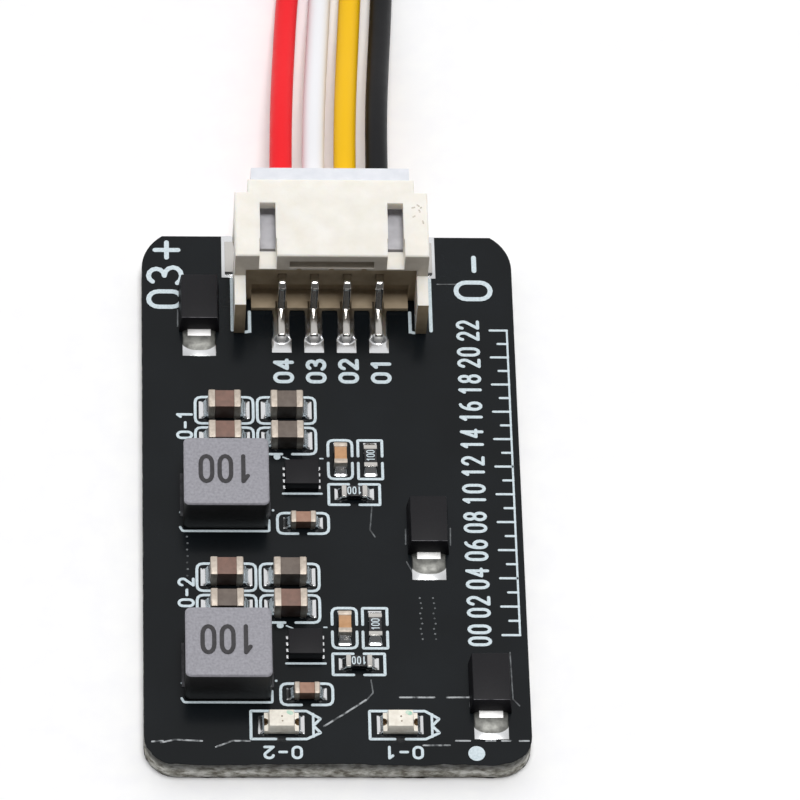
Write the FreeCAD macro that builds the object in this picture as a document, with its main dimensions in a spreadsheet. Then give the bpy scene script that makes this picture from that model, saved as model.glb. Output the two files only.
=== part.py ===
import FreeCAD, Part
import math
import os

import Sketcher

# Active balancer board for a three-cell pack: a small black circuit board with two identical
# balancing channels, three diodes, two indicator lamps, and a four-way side-entry header
# that holds the plug of a four-wire lead.
# The board lies flat. X runs across it, Y along it towards the header, Z up.
# The origin is the middle of the board's underside.

Vector = FreeCAD.Vector
doc = FreeCAD.newDocument("BalancerBoard")


# The sizes, in millimetres and degrees

SIZES = [
    # The circuit board
    ("board_width", 23.0, "across"),
    ("board_length", 38.0, "front edge to rear edge"),
    ("board_thickness", 1.5, "laminate with its masks"),
    ("board_corner", 2.0, "radius of the front corners"),
    ("rear_corner", 2.9, "radius of the rear corners"),
    ("rear_corner_back", 2.4, "its centre, from the rear edge that cuts it short"),
    ("pad_thickness", 0.05, "tinned copper above the mask"),
    ("print_thickness", 0.03, "printed ink above the mask"),
    ("print_line", 0.17, "width of a printed line"),
    ("print_corner", 0.25, "cut across a printed frame's corner"),
    ("dot_diameter", 1.0, "printed dot in the front corner"),
    ("dot_x", 8.17, "its place across"),
    ("dot_from_front", 0.82, "its place from the front edge"),
    # The header housing, measured from its front face
    ("header_x", 0.1, "middle of the header across the board"),
    ("header_front_from_rear_edge", 5.1, "front face to the board's rear edge"),
    ("header_width", 11.9, "over the side walls"),
    ("header_height", 5.3, "board to top face"),
    ("header_side_depth", 4.8, "depth of the side walls"),
    ("header_tongue_depth", 5.77, "depth of the top and bottom walls"),
    ("header_tongue_inset", 0.81, "side wall's outside to the side of the longer walls"),
    ("header_edge_round", 0.15, "rounding of the long top edges"),
    ("leg_reach", 2.18, "how far each leg stands in front"),
    ("leg_width", 0.68, "leg across"),
    ("leg_height", 3.15, "leg above the board"),
    ("header_side_wall", 0.95, "side walls of the mouth"),
    ("cavity_height", 3.9, "mouth upwards"),
    ("cavity_floor", 0.75, "bottom wall of the mouth"),
    ("cavity_start", 1.4, "front wall that holds the pins"),
    ("slot_from_side", 2.02, "middle of a window in the top, from the side wall's outside"),
    ("slot_width", 0.97, "window across"),
    ("slot_end", 3.97, "rear end of a window"),
    ("ledge_level", 3.87, "step in front of each window"),
    ("ledge_width", 1.08, "step across"),
    ("ledge_depth", 1.3, "step back from the front face, as far as the window"),
    ("brow_level", 3.75, "lower edge of the front band"),
    ("brow_setback", 0.3, "wall with the pins, behind the band"),
    ("recess_setback", 0.9, "hollow under the pins"),
    ("recess_top", 1.75, "upper edge of that hollow"),
    ("recess_from_side", 1.1, "end of that hollow, from the side wall's outside"),
    ("foot_height", 0.35, "bar along the foot of the front"),
    ("foot_reach", 0.49, "how far that bar stands in front"),
    ("foot_gap", 0.72, "gap in that bar round each pin"),
    ("grip_width", 5.2, "shallow recess in the front band"),
    ("grip_height", 0.72, "its height"),
    ("grip_level", 3.95, "its lower edge"),
    ("grip_depth", 0.5, "its depth"),
    ("nick_radius", 0.17, "round nicks under the front band"),
    # The header's pins and hold-down tabs
    ("pin_pitch", 2.0, "between neighbouring pins"),
    ("pin_side", 0.5, "square wire"),
    ("pin_fit", 0.02, "clearance round the wire in the wall"),
    ("pin_level", 2.65, "middle of the straight part"),
    ("pin_tip_depth", 4.6, "mating end, behind the front face"),
    ("pin_drop_reach", 0.42, "middle of the upright part, in front"),
    ("pin_toe_reach", 2.65, "end of the foot, in front"),
    ("pin_bend", 0.5, "radius at the middle of each bend"),
    ("tab_start", 2.2, "front end of a hold-down tab"),
    ("tab_end", 4.5, "rear end"),
    ("tab_thickness", 0.25, "sheet"),
    ("tab_height", 2.3, "upright part"),
    ("tab_depth", 0.45, "how deep the tab sits in the side wall"),
    ("tab_toe", 0.5, "foot outside the side wall"),
    # The plug and its crimped contacts, measured from the header's front face
    ("plug_clearance", 0.05, "above and below in the mouth"),
    ("plug_side_clearance", 0.1, "at each side in the mouth"),
    ("plug_nose", 1.5, "mating end"),
    ("plug_tail", 7.1, "wire end, past the board's rear edge"),
    ("plug_shoulder", 3.87, "level of the lower shoulders, above the board"),
    ("plug_shoulder_width", 1.55, "lower shoulder beside the raised middle"),
    ("plug_collar", 5.95, "where the full-height collar starts"),
    ("contact_width", 1.1, "crimped contact across"),
    ("contact_height", 1.3, "contact upwards"),
    ("contact_start", 1.9, "mating end"),
    ("contact_end", 5.5, "where the insulated wire starts"),
    ("contact_fit", 0.06, "clearance round contact, pin and wire"),
    # The lead
    ("wire_diameter", 1.4, "over the insulation"),
    ("strand_diameter", 0.8, "tinned strands at the free end"),
    ("tip_length", 3.0, "stripped length"),
    ("lead_coil_x", -6.2, "middle of the wound lead across"),
    ("lead_coil_y", 58.0, "and along"),
    ("lead_coil_radius", 6.15, "innermost wire"),
    ("lead_coil_pitch", 1.5, "from wire to wire"),
    ("lead_coil_layer", 1.45, "from the lower layer to the upper one"),
    ("lead_coil_length", 59.0, "length of each wire in its turns"),
    ("lead_ramp_start", 225.0, "angle where a turn climbs onto the first"),
    ("lead_ramp_turn", 65.0, "angle taken by the climb"),
    # The two balancing channels
    ("channel_pitch", 12.0, "first channel to second"),
    ("storage_length", 2.0, "storage capacitor"),
    ("storage_width", 1.25, ""),
    ("storage_height", 1.35, ""),
    ("storage_cap", 0.42, "length of each metal end"),
    ("storage_outer_x", -6.5, "outer column"),
    ("storage_inner_x", -2.7, "inner column"),
    ("storage_rear_y", 6.02, "rear row"),
    ("storage_front_y", 3.8, "front row"),
    ("choke_width", 5.15, "moulded power inductor"),
    ("choke_depth", 4.8, ""),
    ("choke_height", 2.75, ""),
    ("choke_corner", 0.35, "its upright corners"),
    ("choke_edge", 0.1, "its top edge"),
    ("choke_x", -6.5, ""),
    ("choke_y", -0.13, ""),
    ("strap_width", 3.1, "the inductor's end straps"),
    ("strap_thickness", 0.15, ""),
    ("strap_height", 1.3, "up the side"),
    ("strap_under", 1.1, "under the body"),
    ("chip_width", 2.05, "balancer chip"),
    ("chip_depth", 1.75, ""),
    ("chip_height", 0.75, ""),
    ("chip_x", -1.85, ""),
    ("chip_y", 1.12, ""),
    ("chip_contact_pitch", 0.45, "between its contacts"),
    ("small_length", 1.55, "small capacitors and resistors"),
    ("small_width", 0.8, ""),
    ("small_capacitor_height", 0.8, ""),
    ("small_cap", 0.33, "length of each metal end"),
    ("resistor_cap", 0.3, "length of each metal end of a resistor"),
    ("end_proud", 0.03, "metal ends stand proud of the ceramic"),
    ("end_round", 0.09, "rounding of a capacitor's ends"),
    ("resistor_height", 0.45, ""),
    ("tuning_capacitor_x", 0.53, ""),
    ("tuning_resistor_x", 2.36, ""),
    ("tuning_y", 2.46, "both parts that stand lengthways"),
    ("bridge_resistor_x", 1.33, ""),
    ("bridge_resistor_y", -0.06, ""),
    ("input_capacitor_x", -1.82, ""),
    ("input_capacitor_y", -2.14, ""),
    # The lamps
    ("lamp_length", 2.05, "indicator lamp"),
    ("lamp_width", 1.25, ""),
    ("lamp_base", 0.35, "its board"),
    ("lamp_height", 0.85, "over the lens"),
    ("lens_length", 1.6, "lens at its foot"),
    ("lens_draft", 9.0, "slope of the lens"),
    ("lamp_notch", 0.25, "half-round plated notch in each end"),
    ("lamp_left_x", -3.37, ""),
    ("lamp_right_x", 3.68, ""),
    ("lamp_from_front", 2.75, "from the front edge"),
    # The diodes
    ("diode_width", 2.5, "moulded body at its foot"),
    ("diode_length", 3.5, ""),
    ("diode_height", 1.35, ""),
    ("diode_draft", 6.0, "slope of its sides"),
    ("lead_width", 1.45, "flat leads"),
    ("lead_thickness", 0.22, ""),
    ("lead_reach", 0.45, "outside the body"),
    ("lead_root", 0.5, "inside the body"),
    ("diode_rear_from_header", 2.13, "diode beside the header, from its side wall"),
    ("diode_rear_y", 13.55, ""),
    ("diode_middle_x", 5.72, "diode in the open middle"),
    ("diode_middle_y", -2.6, ""),
    ("diode_front_x", 9.1, "diode in the front corner"),
    ("diode_front_y", -13.68, ""),
    # Tinned pads
    ("signal_pad_width", 1.2, "under a header pin"),
    ("signal_pad_reach", 3.63, "in front of the header"),
    ("mount_pad_outside", 0.7, "outside the header's side wall"),
    ("mount_pad_length", 3.15, "from the board's rear edge"),
    ("diode_pad_width", 2.05, "under a diode's lead"),
    ("diode_pad_out", 1.8, "in front of the diode's body"),
    ("diode_pad_behind", 0.7, "and behind it"),
    ("storage_pad_out", 0.55, "outside a storage capacitor's end"),
    ("small_pad_out", 0.42, "outside a small part's end"),
    ("choke_pad_out", 0.18, "outside the inductor's end"),
    ("lamp_pad_out", 0.35, "outside a lamp's end"),
    ("lamp_pad_in", 0.25, "under a lamp's end"),
    ("chip_pad", 0.25, "width of a chip contact's pad"),
    # Printed frames
    ("frame_side_margin", 0.42, "from a part's side to the frame's outside"),
    ("frame_end_margin", 0.86, "from a part's end to the frame's outside"),
    ("frame_upright_margin", 0.71, "the same on parts that stand lengthways"),
    ("frame_gap", 0.65, "break in a frame's long side"),
    ("frame_side_gap", 0.5, "break in an upright frame's sides"),
]


class Size:
    """A number kept together with the sheet formula that gives it."""

    def __init__(self, number, formula):
        self.number = number
        self.formula = formula

    def joined(self, other, sign, result):
        text = other.formula if isinstance(other, Size) else repr(float(other))
        return Size(result, "(" + self.formula + " " + sign + " " + text + ")")

    def __add__(self, other):
        return self.joined(other, "+", self.number + value(other))

    def __sub__(self, other):
        return self.joined(other, "-", self.number - value(other))

    def __mul__(self, other):
        return self.joined(other, "*", self.number * value(other))

    def __truediv__(self, other):
        return self.joined(other, "/", self.number / value(other))

    def __neg__(self):
        return self * -1


def value(size):
    """The plain number of a size or of a number."""
    return size.number if isinstance(size, Size) else float(size)


sheet = doc.addObject("Spreadsheet::Sheet", "Sizes")
size = {}
for row, (name, number, remark) in enumerate(SIZES, start=1):
    sheet.set("A%d" % row, name)
    sheet.set("B%d" % row, repr(number))
    sheet.set("C%d" % row, remark)
    sheet.setAlias("B%d" % row, name)
    size[name] = Size(number, "Sizes." + name)
doc.recompute()
ZERO = Size(0.0, "0.0")


# Helpers for bound sketches and features

sub_parts = []


def bind(thing, prop, wanted):
    """Ties one property to the sheet."""
    thing.setExpression(prop, wanted.formula)


def place(thing, x=ZERO, y=ZERO, z=ZERO, turn=0.0):
    """Puts a body where the sheet says, turned about the upright axis."""
    spin = FreeCAD.Rotation(Vector(0, 0, 1), turn)
    thing.Placement = FreeCAD.Placement(Vector(value(x), value(y), value(z)), spin)
    for axis, wanted in zip("xyz", (x, y, z)):
        bind(thing, "Placement.Base." + axis, wanted)


def new_body(label, x=ZERO, y=ZERO, z=ZERO, turn=0.0, kept=True):
    """An empty body. A kept one becomes a sub-part of its own."""
    body = doc.addObject("PartDesign::Body", label)
    body.Label = label
    place(body, x, y, z, turn)
    if kept:
        sub_parts.append(body)
    return body


def new_sketch(body, plane_name="XY_Plane", level=ZERO):
    """A sketch on one of the body's own planes, raised by a level along the plane's normal."""
    plane = [item for item in body.Origin.OriginFeatures if item.Role == plane_name][0]
    sketch = body.newObject("Sketcher::SketchObject", body.Label + "_outline")
    sketch.AttachmentSupport = [(plane, "")]
    sketch.MapMode = "FlatFace"
    sketch.AttachmentOffset.Base = Vector(0, 0, value(level))
    bind(sketch, "AttachmentOffset.Base.z", level)
    return sketch


def fix(sketch, kind, wanted, *where):
    """Adds one dimension to a sketch and ties it to the sheet."""
    index = sketch.addConstraint(Sketcher.Constraint(kind, *where, value(wanted)))
    bind(sketch, "Constraints[%d]" % index, wanted)


def pin_point(sketch, item, end, x, y):
    """Fixes one end of a line by its two distances from the origin."""
    fix(sketch, "DistanceX", x, -1, 1, item, end)
    fix(sketch, "DistanceY", y, -1, 1, item, end)


def outline(sketch, corners):
    """A closed outline of straight lines through corners given as pairs of sizes."""
    first = sketch.GeometryCount
    count = len(corners)
    spots = [Vector(value(x), value(y), 0) for x, y in corners]
    for index in range(count):
        sketch.addGeometry(Part.LineSegment(spots[index], spots[(index + 1) % count]), False)
    for index in range(count):
        joined = first + (index + 1) % count
        sketch.addConstraint(Sketcher.Constraint("Coincident", first + index, 2, joined, 1))
    for index, (x, y) in enumerate(corners):
        pin_point(sketch, first + index, 1, x, y)


def rectangle(sketch, left, right, low, high):
    outline(sketch, [(left, low), (right, low), (right, high), (left, high)])


def centred(sketch, width, height, x=ZERO, y=ZERO):
    """A rectangle about a middle point."""
    rectangle(sketch, x - width / 2, x + width / 2, y - height / 2, y + height / 2)


def board_outline(sketch, width, low, high, front_radius, rear_radius, rear_back):
    """Round front corners, and larger rear arcs that the straight rear edge cuts short."""
    right = value(width) / 2
    bow, wide, drop = value(front_radius), value(rear_radius), value(rear_back)
    meets = math.degrees(math.asin(drop / wide))
    arcs = [
        (bow - right, value(low) + bow, bow, 180, 270),
        (right - bow, value(low) + bow, bow, 270, 360),
        (right - wide, value(high) - drop, wide, 0, meets),
        (wide - right, value(high) - drop, wide, 180 - meets, 180),
    ]
    for x, y, radius, start, end in arcs:
        whole = Part.Circle(Vector(x, y, 0), Vector(0, 0, 1), radius)
        arc = Part.ArcOfCircle(whole, math.radians(start), math.radians(end))
        sketch.addGeometry(arc, False)
    for index in range(4):
        start = sketch.getPoint(index, 2)
        end = sketch.getPoint((index + 1) % 4, 1)
        sketch.addGeometry(Part.LineSegment(start, end), False)
    front, side, rear, other_side = 4, 5, 6, 7
    for index in range(4):
        line = 4 + index
        kind = "Coincident" if line == rear else "Tangent"
        sketch.addConstraint(Sketcher.Constraint(kind, index, 2, line, 1))
        sketch.addConstraint(Sketcher.Constraint(kind, line, 2, (index + 1) % 4, 1))
    sketch.addConstraint(Sketcher.Constraint("Equal", 0, 1))
    sketch.addConstraint(Sketcher.Constraint("Equal", 2, 3))
    fix(sketch, "Radius", front_radius, 0)
    fix(sketch, "Radius", rear_radius, 2)
    sketch.addConstraint(Sketcher.Constraint("Horizontal", front))
    sketch.addConstraint(Sketcher.Constraint("Vertical", side))
    sketch.addConstraint(Sketcher.Constraint("Horizontal", rear))
    sketch.addConstraint(Sketcher.Constraint("Vertical", other_side))
    fix(sketch, "DistanceY", low, -1, 1, front, 1)
    fix(sketch, "DistanceX", width / 2, -1, 1, side, 1)
    fix(sketch, "DistanceY", high, -1, 1, rear, 1)
    fix(sketch, "DistanceX", -(width / 2), -1, 1, other_side, 1)
    for rear_arc in (2, 3):
        fix(sketch, "DistanceY", high - rear_back, -1, 1, rear_arc, 3)


def rounded(sketch, width, height, radius, x=ZERO, y=ZERO):
    """A rectangle about a middle point with rounded corners."""
    first = sketch.GeometryCount
    left, right = x - width / 2, x + width / 2
    low, high = y - height / 2, y + height / 2
    corners = [(left, low, 180), (right, low, 270), (right, high, 0), (left, high, 90)]
    bow = value(radius)
    middles = []
    for corner_x, corner_y, _ in corners:
        inward_x = bow if value(corner_x) < value(x) else -bow
        inward_y = bow if value(corner_y) < value(y) else -bow
        middles.append(Vector(value(corner_x) + inward_x, value(corner_y) + inward_y, 0))
    for middle, (_, _, start) in zip(middles, corners):
        circle = Part.Circle(middle, Vector(0, 0, 1), bow)
        arc = Part.ArcOfCircle(circle, math.radians(start), math.radians(start + 90))
        sketch.addGeometry(arc, False)
    for index in range(4):
        start = sketch.getPoint(first + index, 2)
        end = sketch.getPoint(first + (index + 1) % 4, 1)
        sketch.addGeometry(Part.LineSegment(start, end), False)
    for index in range(4):
        line = first + 4 + index
        sketch.addConstraint(Sketcher.Constraint("Tangent", first + index, 2, line, 1))
        sketch.addConstraint(Sketcher.Constraint("Tangent", line, 2, first + (index + 1) % 4, 1))
    for index in range(1, 4):
        sketch.addConstraint(Sketcher.Constraint("Equal", first, first + index))
    fix(sketch, "Radius", radius, first)
    sketch.addConstraint(Sketcher.Constraint("Horizontal", first + 4))
    sketch.addConstraint(Sketcher.Constraint("Vertical", first + 5))
    fix(sketch, "DistanceY", low, -1, 1, first + 4, 1)
    fix(sketch, "DistanceX", right, -1, 1, first + 5, 1)
    fix(sketch, "DistanceY", high, -1, 1, first + 6, 1)
    fix(sketch, "DistanceX", left, -1, 1, first + 7, 1)


def circle(sketch, diameter, x=ZERO, y=ZERO):
    middle = Vector(value(x), value(y), 0)
    index = sketch.addGeometry(Part.Circle(middle, Vector(0, 0, 1), value(diameter) / 2), False)
    fix(sketch, "Radius", diameter / 2, index)
    fix(sketch, "DistanceX", x, -1, 1, index, 3)
    fix(sketch, "DistanceY", y, -1, 1, index, 3)


def pad(body, sketch, height, draft=None, flipped=False):
    """Raises a sketch into material."""
    feature = body.newObject("PartDesign::Pad", body.Label + "_pad")
    feature.Profile = sketch
    feature.Length = value(height)
    bind(feature, "Length", height)
    feature.Reversed = flipped
    if draft is not None:
        feature.TaperAngle = value(-draft)
        bind(feature, "TaperAngle", -draft)
    return feature


def pocket(body, sketch, depth=None, flipped=False):
    """Cuts a sketch out of the body, right through it or to a depth."""
    feature = body.newObject("PartDesign::Pocket", body.Label + "_pocket")
    feature.Profile = sketch
    feature.Reversed = flipped
    if depth is None:
        feature.Type = "ThroughAll"
    else:
        feature.Length = value(depth)
        bind(feature, "Length", depth)
    return feature


def soften(body, radius, chosen):
    """Rounds the edges of the body's last feature for which chosen(edge) is true."""
    doc.recompute()
    base = body.Tip
    edges = base.Shape.Edges
    names = ["Edge%d" % number for number, edge in enumerate(edges, start=1) if chosen(edge)]
    feature = body.newObject("PartDesign::Fillet", body.Label + "_round")
    feature.Base = (base, names)
    feature.Radius = value(radius)
    bind(feature, "Radius", radius)
    return feature


def bevel(body, amount, chosen):
    """Cuts the edges of the body's last feature for which chosen(edge) is true."""
    doc.recompute()
    base = body.Tip
    edges = base.Shape.Edges
    names = ["Edge%d" % number for number, edge in enumerate(edges, start=1) if chosen(edge)]
    feature = body.newObject("PartDesign::Chamfer", body.Label + "_bevel")
    feature.Base = (base, names)
    feature.Size = value(amount)
    bind(feature, "Size", amount)
    return feature


def lies_at(level):
    """A test for edges that lie wholly at one height of their body."""

    def chosen(edge):
        box = edge.BoundBox
        return abs(box.ZMin - level) < 1e-3 and abs(box.ZMax - level) < 1e-3

    return chosen


def block(label, length, width, height, x, y, z):
    """A plain rectangular piece of a group, about a middle point and from a level upwards."""
    box = doc.addObject("Part::Box", label)
    for prop, wanted in (("Length", length), ("Width", width), ("Height", height)):
        setattr(box, prop, value(wanted))
        bind(box, prop, wanted)
    place(box, x - length / 2, y - width / 2, z)
    return box


def group(label, pieces):
    """One sub-part made of several separate solids."""
    joined = doc.addObject("Part::Compound", label)
    joined.Label = label
    joined.Links = pieces
    sub_parts.append(joined)
    return joined


def sides(distance):
    """A distance to the left and the same distance to the right."""
    return (("left", -distance), ("right", distance))


# Levels and places that several pieces share

board_top = size["board_thickness"]
pad_top = board_top + size["pad_thickness"]
front_edge = -(size["board_length"] / 2)
rear_edge = size["board_length"] / 2
header_front = rear_edge - size["header_front_from_rear_edge"]
pin_places = [size["pin_pitch"] * step for step in (-1.5, -0.5, 0.5, 1.5)]
channels = [("1", ZERO), ("2", -size["channel_pitch"])]


# The laminate

board = new_body("circuit_board")
board_plan = new_sketch(board)
corners = size["board_corner"], size["rear_corner"], size["rear_corner_back"]
board_outline(board_plan, size["board_width"], front_edge, rear_edge, *corners)
pad(board, board_plan, board_top)


# The header housing, one moulding

header = new_body("header_housing", size["header_x"], header_front, board_top)
half_header = size["header_width"] / 2
leg_inside = half_header - size["leg_width"]
side_view = new_sketch(header, "YZ_Plane", -half_header)
outline(
    side_view,
    [
        (-size["leg_reach"], size["pad_thickness"]),
        (size["header_side_depth"], size["pad_thickness"]),
        (size["header_side_depth"], size["header_height"]),
        (ZERO, size["header_height"]),
        (ZERO, size["leg_height"]),
        (-size["leg_reach"], size["leg_height"]),
    ],
)
pad(header, side_view, size["header_width"])

# Longer top and bottom walls behind the side walls
tongue = new_sketch(header, level=size["pad_thickness"])
tongue_start = size["header_side_depth"] / 2
half_tongue = half_header - size["header_tongue_inset"]
rectangle(tongue, -half_tongue, half_tongue, tongue_start, size["header_tongue_depth"])
pad(header, tongue, size["header_height"] - size["pad_thickness"])
soften(header, size["header_edge_round"], lies_at(value(size["header_height"])))

# Space between the legs, in three steps back from the front face
between_legs = new_sketch(header)
rectangle(between_legs, -leg_inside, leg_inside, -size["leg_reach"] * 2, size["brow_setback"])
pocket(header, between_legs, size["brow_level"], flipped=True)
foot = new_sketch(header, level=size["pad_thickness"])
foot_half = half_header - size["recess_from_side"]
rectangle(foot, -foot_half, foot_half, -size["foot_reach"], size["cavity_start"])
pad(header, foot, size["foot_height"] - size["pad_thickness"])
hollow = new_sketch(header, level=size["foot_height"])
rectangle(hollow, -foot_half, foot_half, -size["leg_reach"], size["recess_setback"])
pocket(header, hollow, size["recess_top"] - size["foot_height"], flipped=True)

# A gap in the foot bar round each pin
gaps = new_sketch(header)
half_gap = size["foot_gap"] / 2
for pin_x in pin_places:
    rectangle(gaps, pin_x - half_gap, pin_x + half_gap, -size["leg_reach"], ZERO)
pocket(header, gaps, size["foot_height"], flipped=True)

# Mouth for the plug
mouth = new_sketch(header, "XZ_Plane", -size["header_tongue_depth"] * 2)
mouth_middle = size["cavity_floor"] + size["cavity_height"] / 2
half_mouth = half_header - size["header_side_wall"]
centred(mouth, half_mouth * 2, size["cavity_height"], y=mouth_middle)
mouth_depth = size["header_tongue_depth"] * 2 - size["cavity_start"]
pocket(header, mouth, mouth_depth, flipped=True)

# Windows in the top with a step in front of each
windows = new_sketch(header, level=size["header_height"])
steps = new_sketch(header, level=size["header_height"])
for _, window_x in sides(half_header - size["slot_from_side"]):
    half_slot = size["slot_width"] / 2
    half_ledge = size["ledge_width"] / 2
    low, high = size["ledge_depth"], size["slot_end"]
    rectangle(windows, window_x - half_slot, window_x + half_slot, low, high)
    low, high = -size["ledge_depth"], size["ledge_depth"]
    rectangle(steps, window_x - half_ledge, window_x + half_ledge, low, high)
pocket(header, windows, size["header_height"] - mouth_middle)
pocket(header, steps, size["header_height"] - size["ledge_level"])

# Shallow recess in the front band and the round nicks under it
grip = new_sketch(header, "XZ_Plane")
grip_middle = size["grip_level"] + size["grip_height"] / 2
centred(grip, size["grip_width"], size["grip_height"], y=grip_middle)
pocket(header, grip, size["grip_depth"])
nicks = new_sketch(header, "XZ_Plane")
for step in (-1, 0, 1):
    circle(nicks, size["nick_radius"] * 2, size["pin_pitch"] * step, size["brow_level"])
pocket(header, nicks, size["brow_setback"])

# Square holes for the pins and upright slots for the hold-down tabs
pin_holes = new_sketch(header, "XZ_Plane", -size["cavity_start"] * 2)
pin_hole = size["pin_side"] + size["pin_fit"] * 2
for pin_x in pin_places:
    centred(pin_holes, pin_hole, pin_hole, pin_x, size["pin_level"])
pocket(header, pin_holes, size["cavity_start"] * 2, flipped=True)
tab_slots = new_sketch(header)
for side, tab_x in sides(half_header - size["tab_depth"] / 2):
    half_tab = size["tab_depth"] / 2
    rectangle(tab_slots, tab_x - half_tab, tab_x + half_tab, size["tab_start"], size["tab_end"])
pocket(header, tab_slots, size["tab_height"] + size["pad_thickness"], flipped=True)


# Bent square pins: mating end, upright part, and a foot that stands on its pad

for number, pin_x in enumerate(pin_places, start=1):
    pin = new_body("header_pin_%d" % number, size["header_x"] + pin_x, header_front, board_top)
    wire = new_sketch(pin, "YZ_Plane", -(size["pin_side"] / 2))
    half = size["pin_side"] / 2
    upper, lower = size["pin_level"] + half, size["pin_level"] - half
    sole = size["pad_thickness"]
    rear, front = -size["pin_drop_reach"] + half, -size["pin_drop_reach"] - half
    outline(
        wire,
        [
            (size["pin_tip_depth"], lower),
            (size["pin_tip_depth"], upper),
            (front, upper),
            (front, sole + size["pin_side"]),
            (-size["pin_toe_reach"], sole + size["pin_side"]),
            (-size["pin_toe_reach"], sole),
            (rear, sole),
            (rear, lower),
        ],
    )
    pad(pin, wire, size["pin_side"])

    def is_bend(edge, spots=((value(front), value(upper)), (value(rear), value(sole)))):
        low, high = edge.Vertexes[0].Point, edge.Vertexes[-1].Point
        across = abs(low.x - high.x) > value(half)
        return across and any(math.hypot(low.y - y, low.z - z) < 1e-3 for y, z in spots)

    soften(pin, size["pin_bend"], is_bend)


# Hold-down tabs: an upright part in the side wall and a foot soldered outside it

for side, direction in (("left", -1), ("right", 1)):
    tab = new_body("hold_down_tab_" + side, size["header_x"], header_front, board_top)
    bent = new_sketch(tab, "XZ_Plane", -size["tab_start"])
    inner = (half_header - size["tab_depth"]) * direction
    bend = (half_header - size["tab_depth"] + size["tab_thickness"]) * direction
    toe = (half_header + size["tab_toe"]) * direction
    sole = size["pad_thickness"]
    outline(
        bent,
        [
            (inner, sole),
            (toe, sole),
            (toe, sole + size["tab_thickness"]),
            (bend, sole + size["tab_thickness"]),
            (bend, size["tab_height"]),
            (inner, size["tab_height"]),
        ],
    )
    pad(tab, bent, size["tab_end"] - size["tab_start"], flipped=True)


# The plug: lower shoulders beside a raised middle, a full collar at the wire end

plug = new_body("plug_housing", size["header_x"], header_front, board_top)
plug_floor = size["cavity_floor"] + size["plug_clearance"]
plug_crown = size["cavity_floor"] + size["cavity_height"] - size["plug_clearance"]
half_plug = half_mouth - size["plug_side_clearance"]
half_crown = half_plug - size["plug_shoulder_width"]
plug_face = new_sketch(plug, "XZ_Plane", -size["plug_nose"])
outline(
    plug_face,
    [
        (-half_plug, plug_floor),
        (half_plug, plug_floor),
        (half_plug, size["plug_shoulder"]),
        (half_crown, size["plug_shoulder"]),
        (half_crown, plug_crown),
        (-half_crown, plug_crown),
        (-half_crown, size["plug_shoulder"]),
        (-half_plug, size["plug_shoulder"]),
    ],
)
pad(plug, plug_face, size["plug_tail"] - size["plug_nose"], flipped=True)
collar = new_sketch(plug, "XZ_Plane", -size["plug_collar"])
rectangle(collar, -half_plug, half_plug, plug_floor, plug_crown)
pad(plug, collar, size["plug_tail"] - size["plug_collar"], flipped=True)
chambers = new_sketch(plug, "XZ_Plane", ZERO)
wire_holes = new_sketch(plug, "XZ_Plane", -size["plug_tail"] * 2)
for pin_x in pin_places:
    room = size["contact_fit"] * 2
    wide, tall = size["contact_width"] + room, size["contact_height"] + room
    centred(chambers, wide, tall, pin_x, size["pin_level"])
    circle(wire_holes, size["wire_diameter"] + room, pin_x, size["pin_level"])
pocket(plug, chambers, size["contact_end"] + size["contact_fit"])
wire_hole_depth = size["plug_tail"] * 2 - size["contact_end"]
pocket(plug, wire_holes, wire_hole_depth, flipped=True)


# Crimped contacts: a box that grips the pin

for number, pin_x in enumerate(pin_places, start=1):
    label = "crimp_contact_%d" % number
    contact = new_body(label, size["header_x"] + pin_x, header_front, board_top)
    face = new_sketch(contact, "XZ_Plane", -size["contact_start"])
    wide, tall = size["contact_width"], size["contact_height"]
    centred(face, wide, tall, y=size["pin_level"])
    pad(contact, face, size["contact_end"] - size["contact_start"], flipped=True)
    bore = new_sketch(contact, "XZ_Plane", ZERO)
    grip_side = size["pin_side"] + size["contact_fit"] * 2
    centred(bore, grip_side, grip_side, y=size["pin_level"])
    pocket(contact, bore, size["pin_tip_depth"] + size["contact_fit"])


# The lead: four wires, each a tube as far as its turns, its wound turns and its tinned end

WIRES = {
    "red": [
        (-2.9, 19.4, 4.15), (-2.86, 23.2, 4.13), (-2.72, 27.8, 3.5), (-2.44, 32.8, 2.05),
        (-2.12, 37.8, 0.95), (-1.6, 43.0, 0.72), (-0.7, 48.6, 0.7), (-0.12, 53.8, 0.71),
        (-0.05, 58.0, 0.7),
    ],
    "white": [
        (-0.9, 19.4, 4.15), (-0.84, 23.2, 4.14), (-0.66, 27.8, 3.55), (-0.34, 32.8, 2.1),
        (-0.02, 37.8, 0.97), (0.34, 43.0, 0.72), (0.96, 48.6, 0.7), (1.39, 53.8, 0.71),
        (1.45, 58.0, 0.7),
    ],
    "yellow": [
        (1.1, 19.4, 4.15), (1.13, 23.2, 4.13), (1.3, 27.8, 3.52), (1.6, 32.8, 2.07),
        (1.92, 37.8, 0.96), (2.2, 43.0, 0.72), (2.62, 48.6, 0.7), (2.91, 53.8, 0.71),
        (2.95, 58.0, 0.7),
    ],
    "black": [
        (3.1, 19.4, 4.15), (3.12, 23.2, 4.12), (3.26, 27.8, 3.45), (3.6, 32.8, 2.0),
        (3.94, 37.8, 0.93), (4.14, 43.0, 0.72), (4.32, 48.6, 0.7), (4.43, 53.8, 0.71),
        (4.45, 58.0, 0.7),
    ],
}
ARC_SHARE = 0.45


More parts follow.
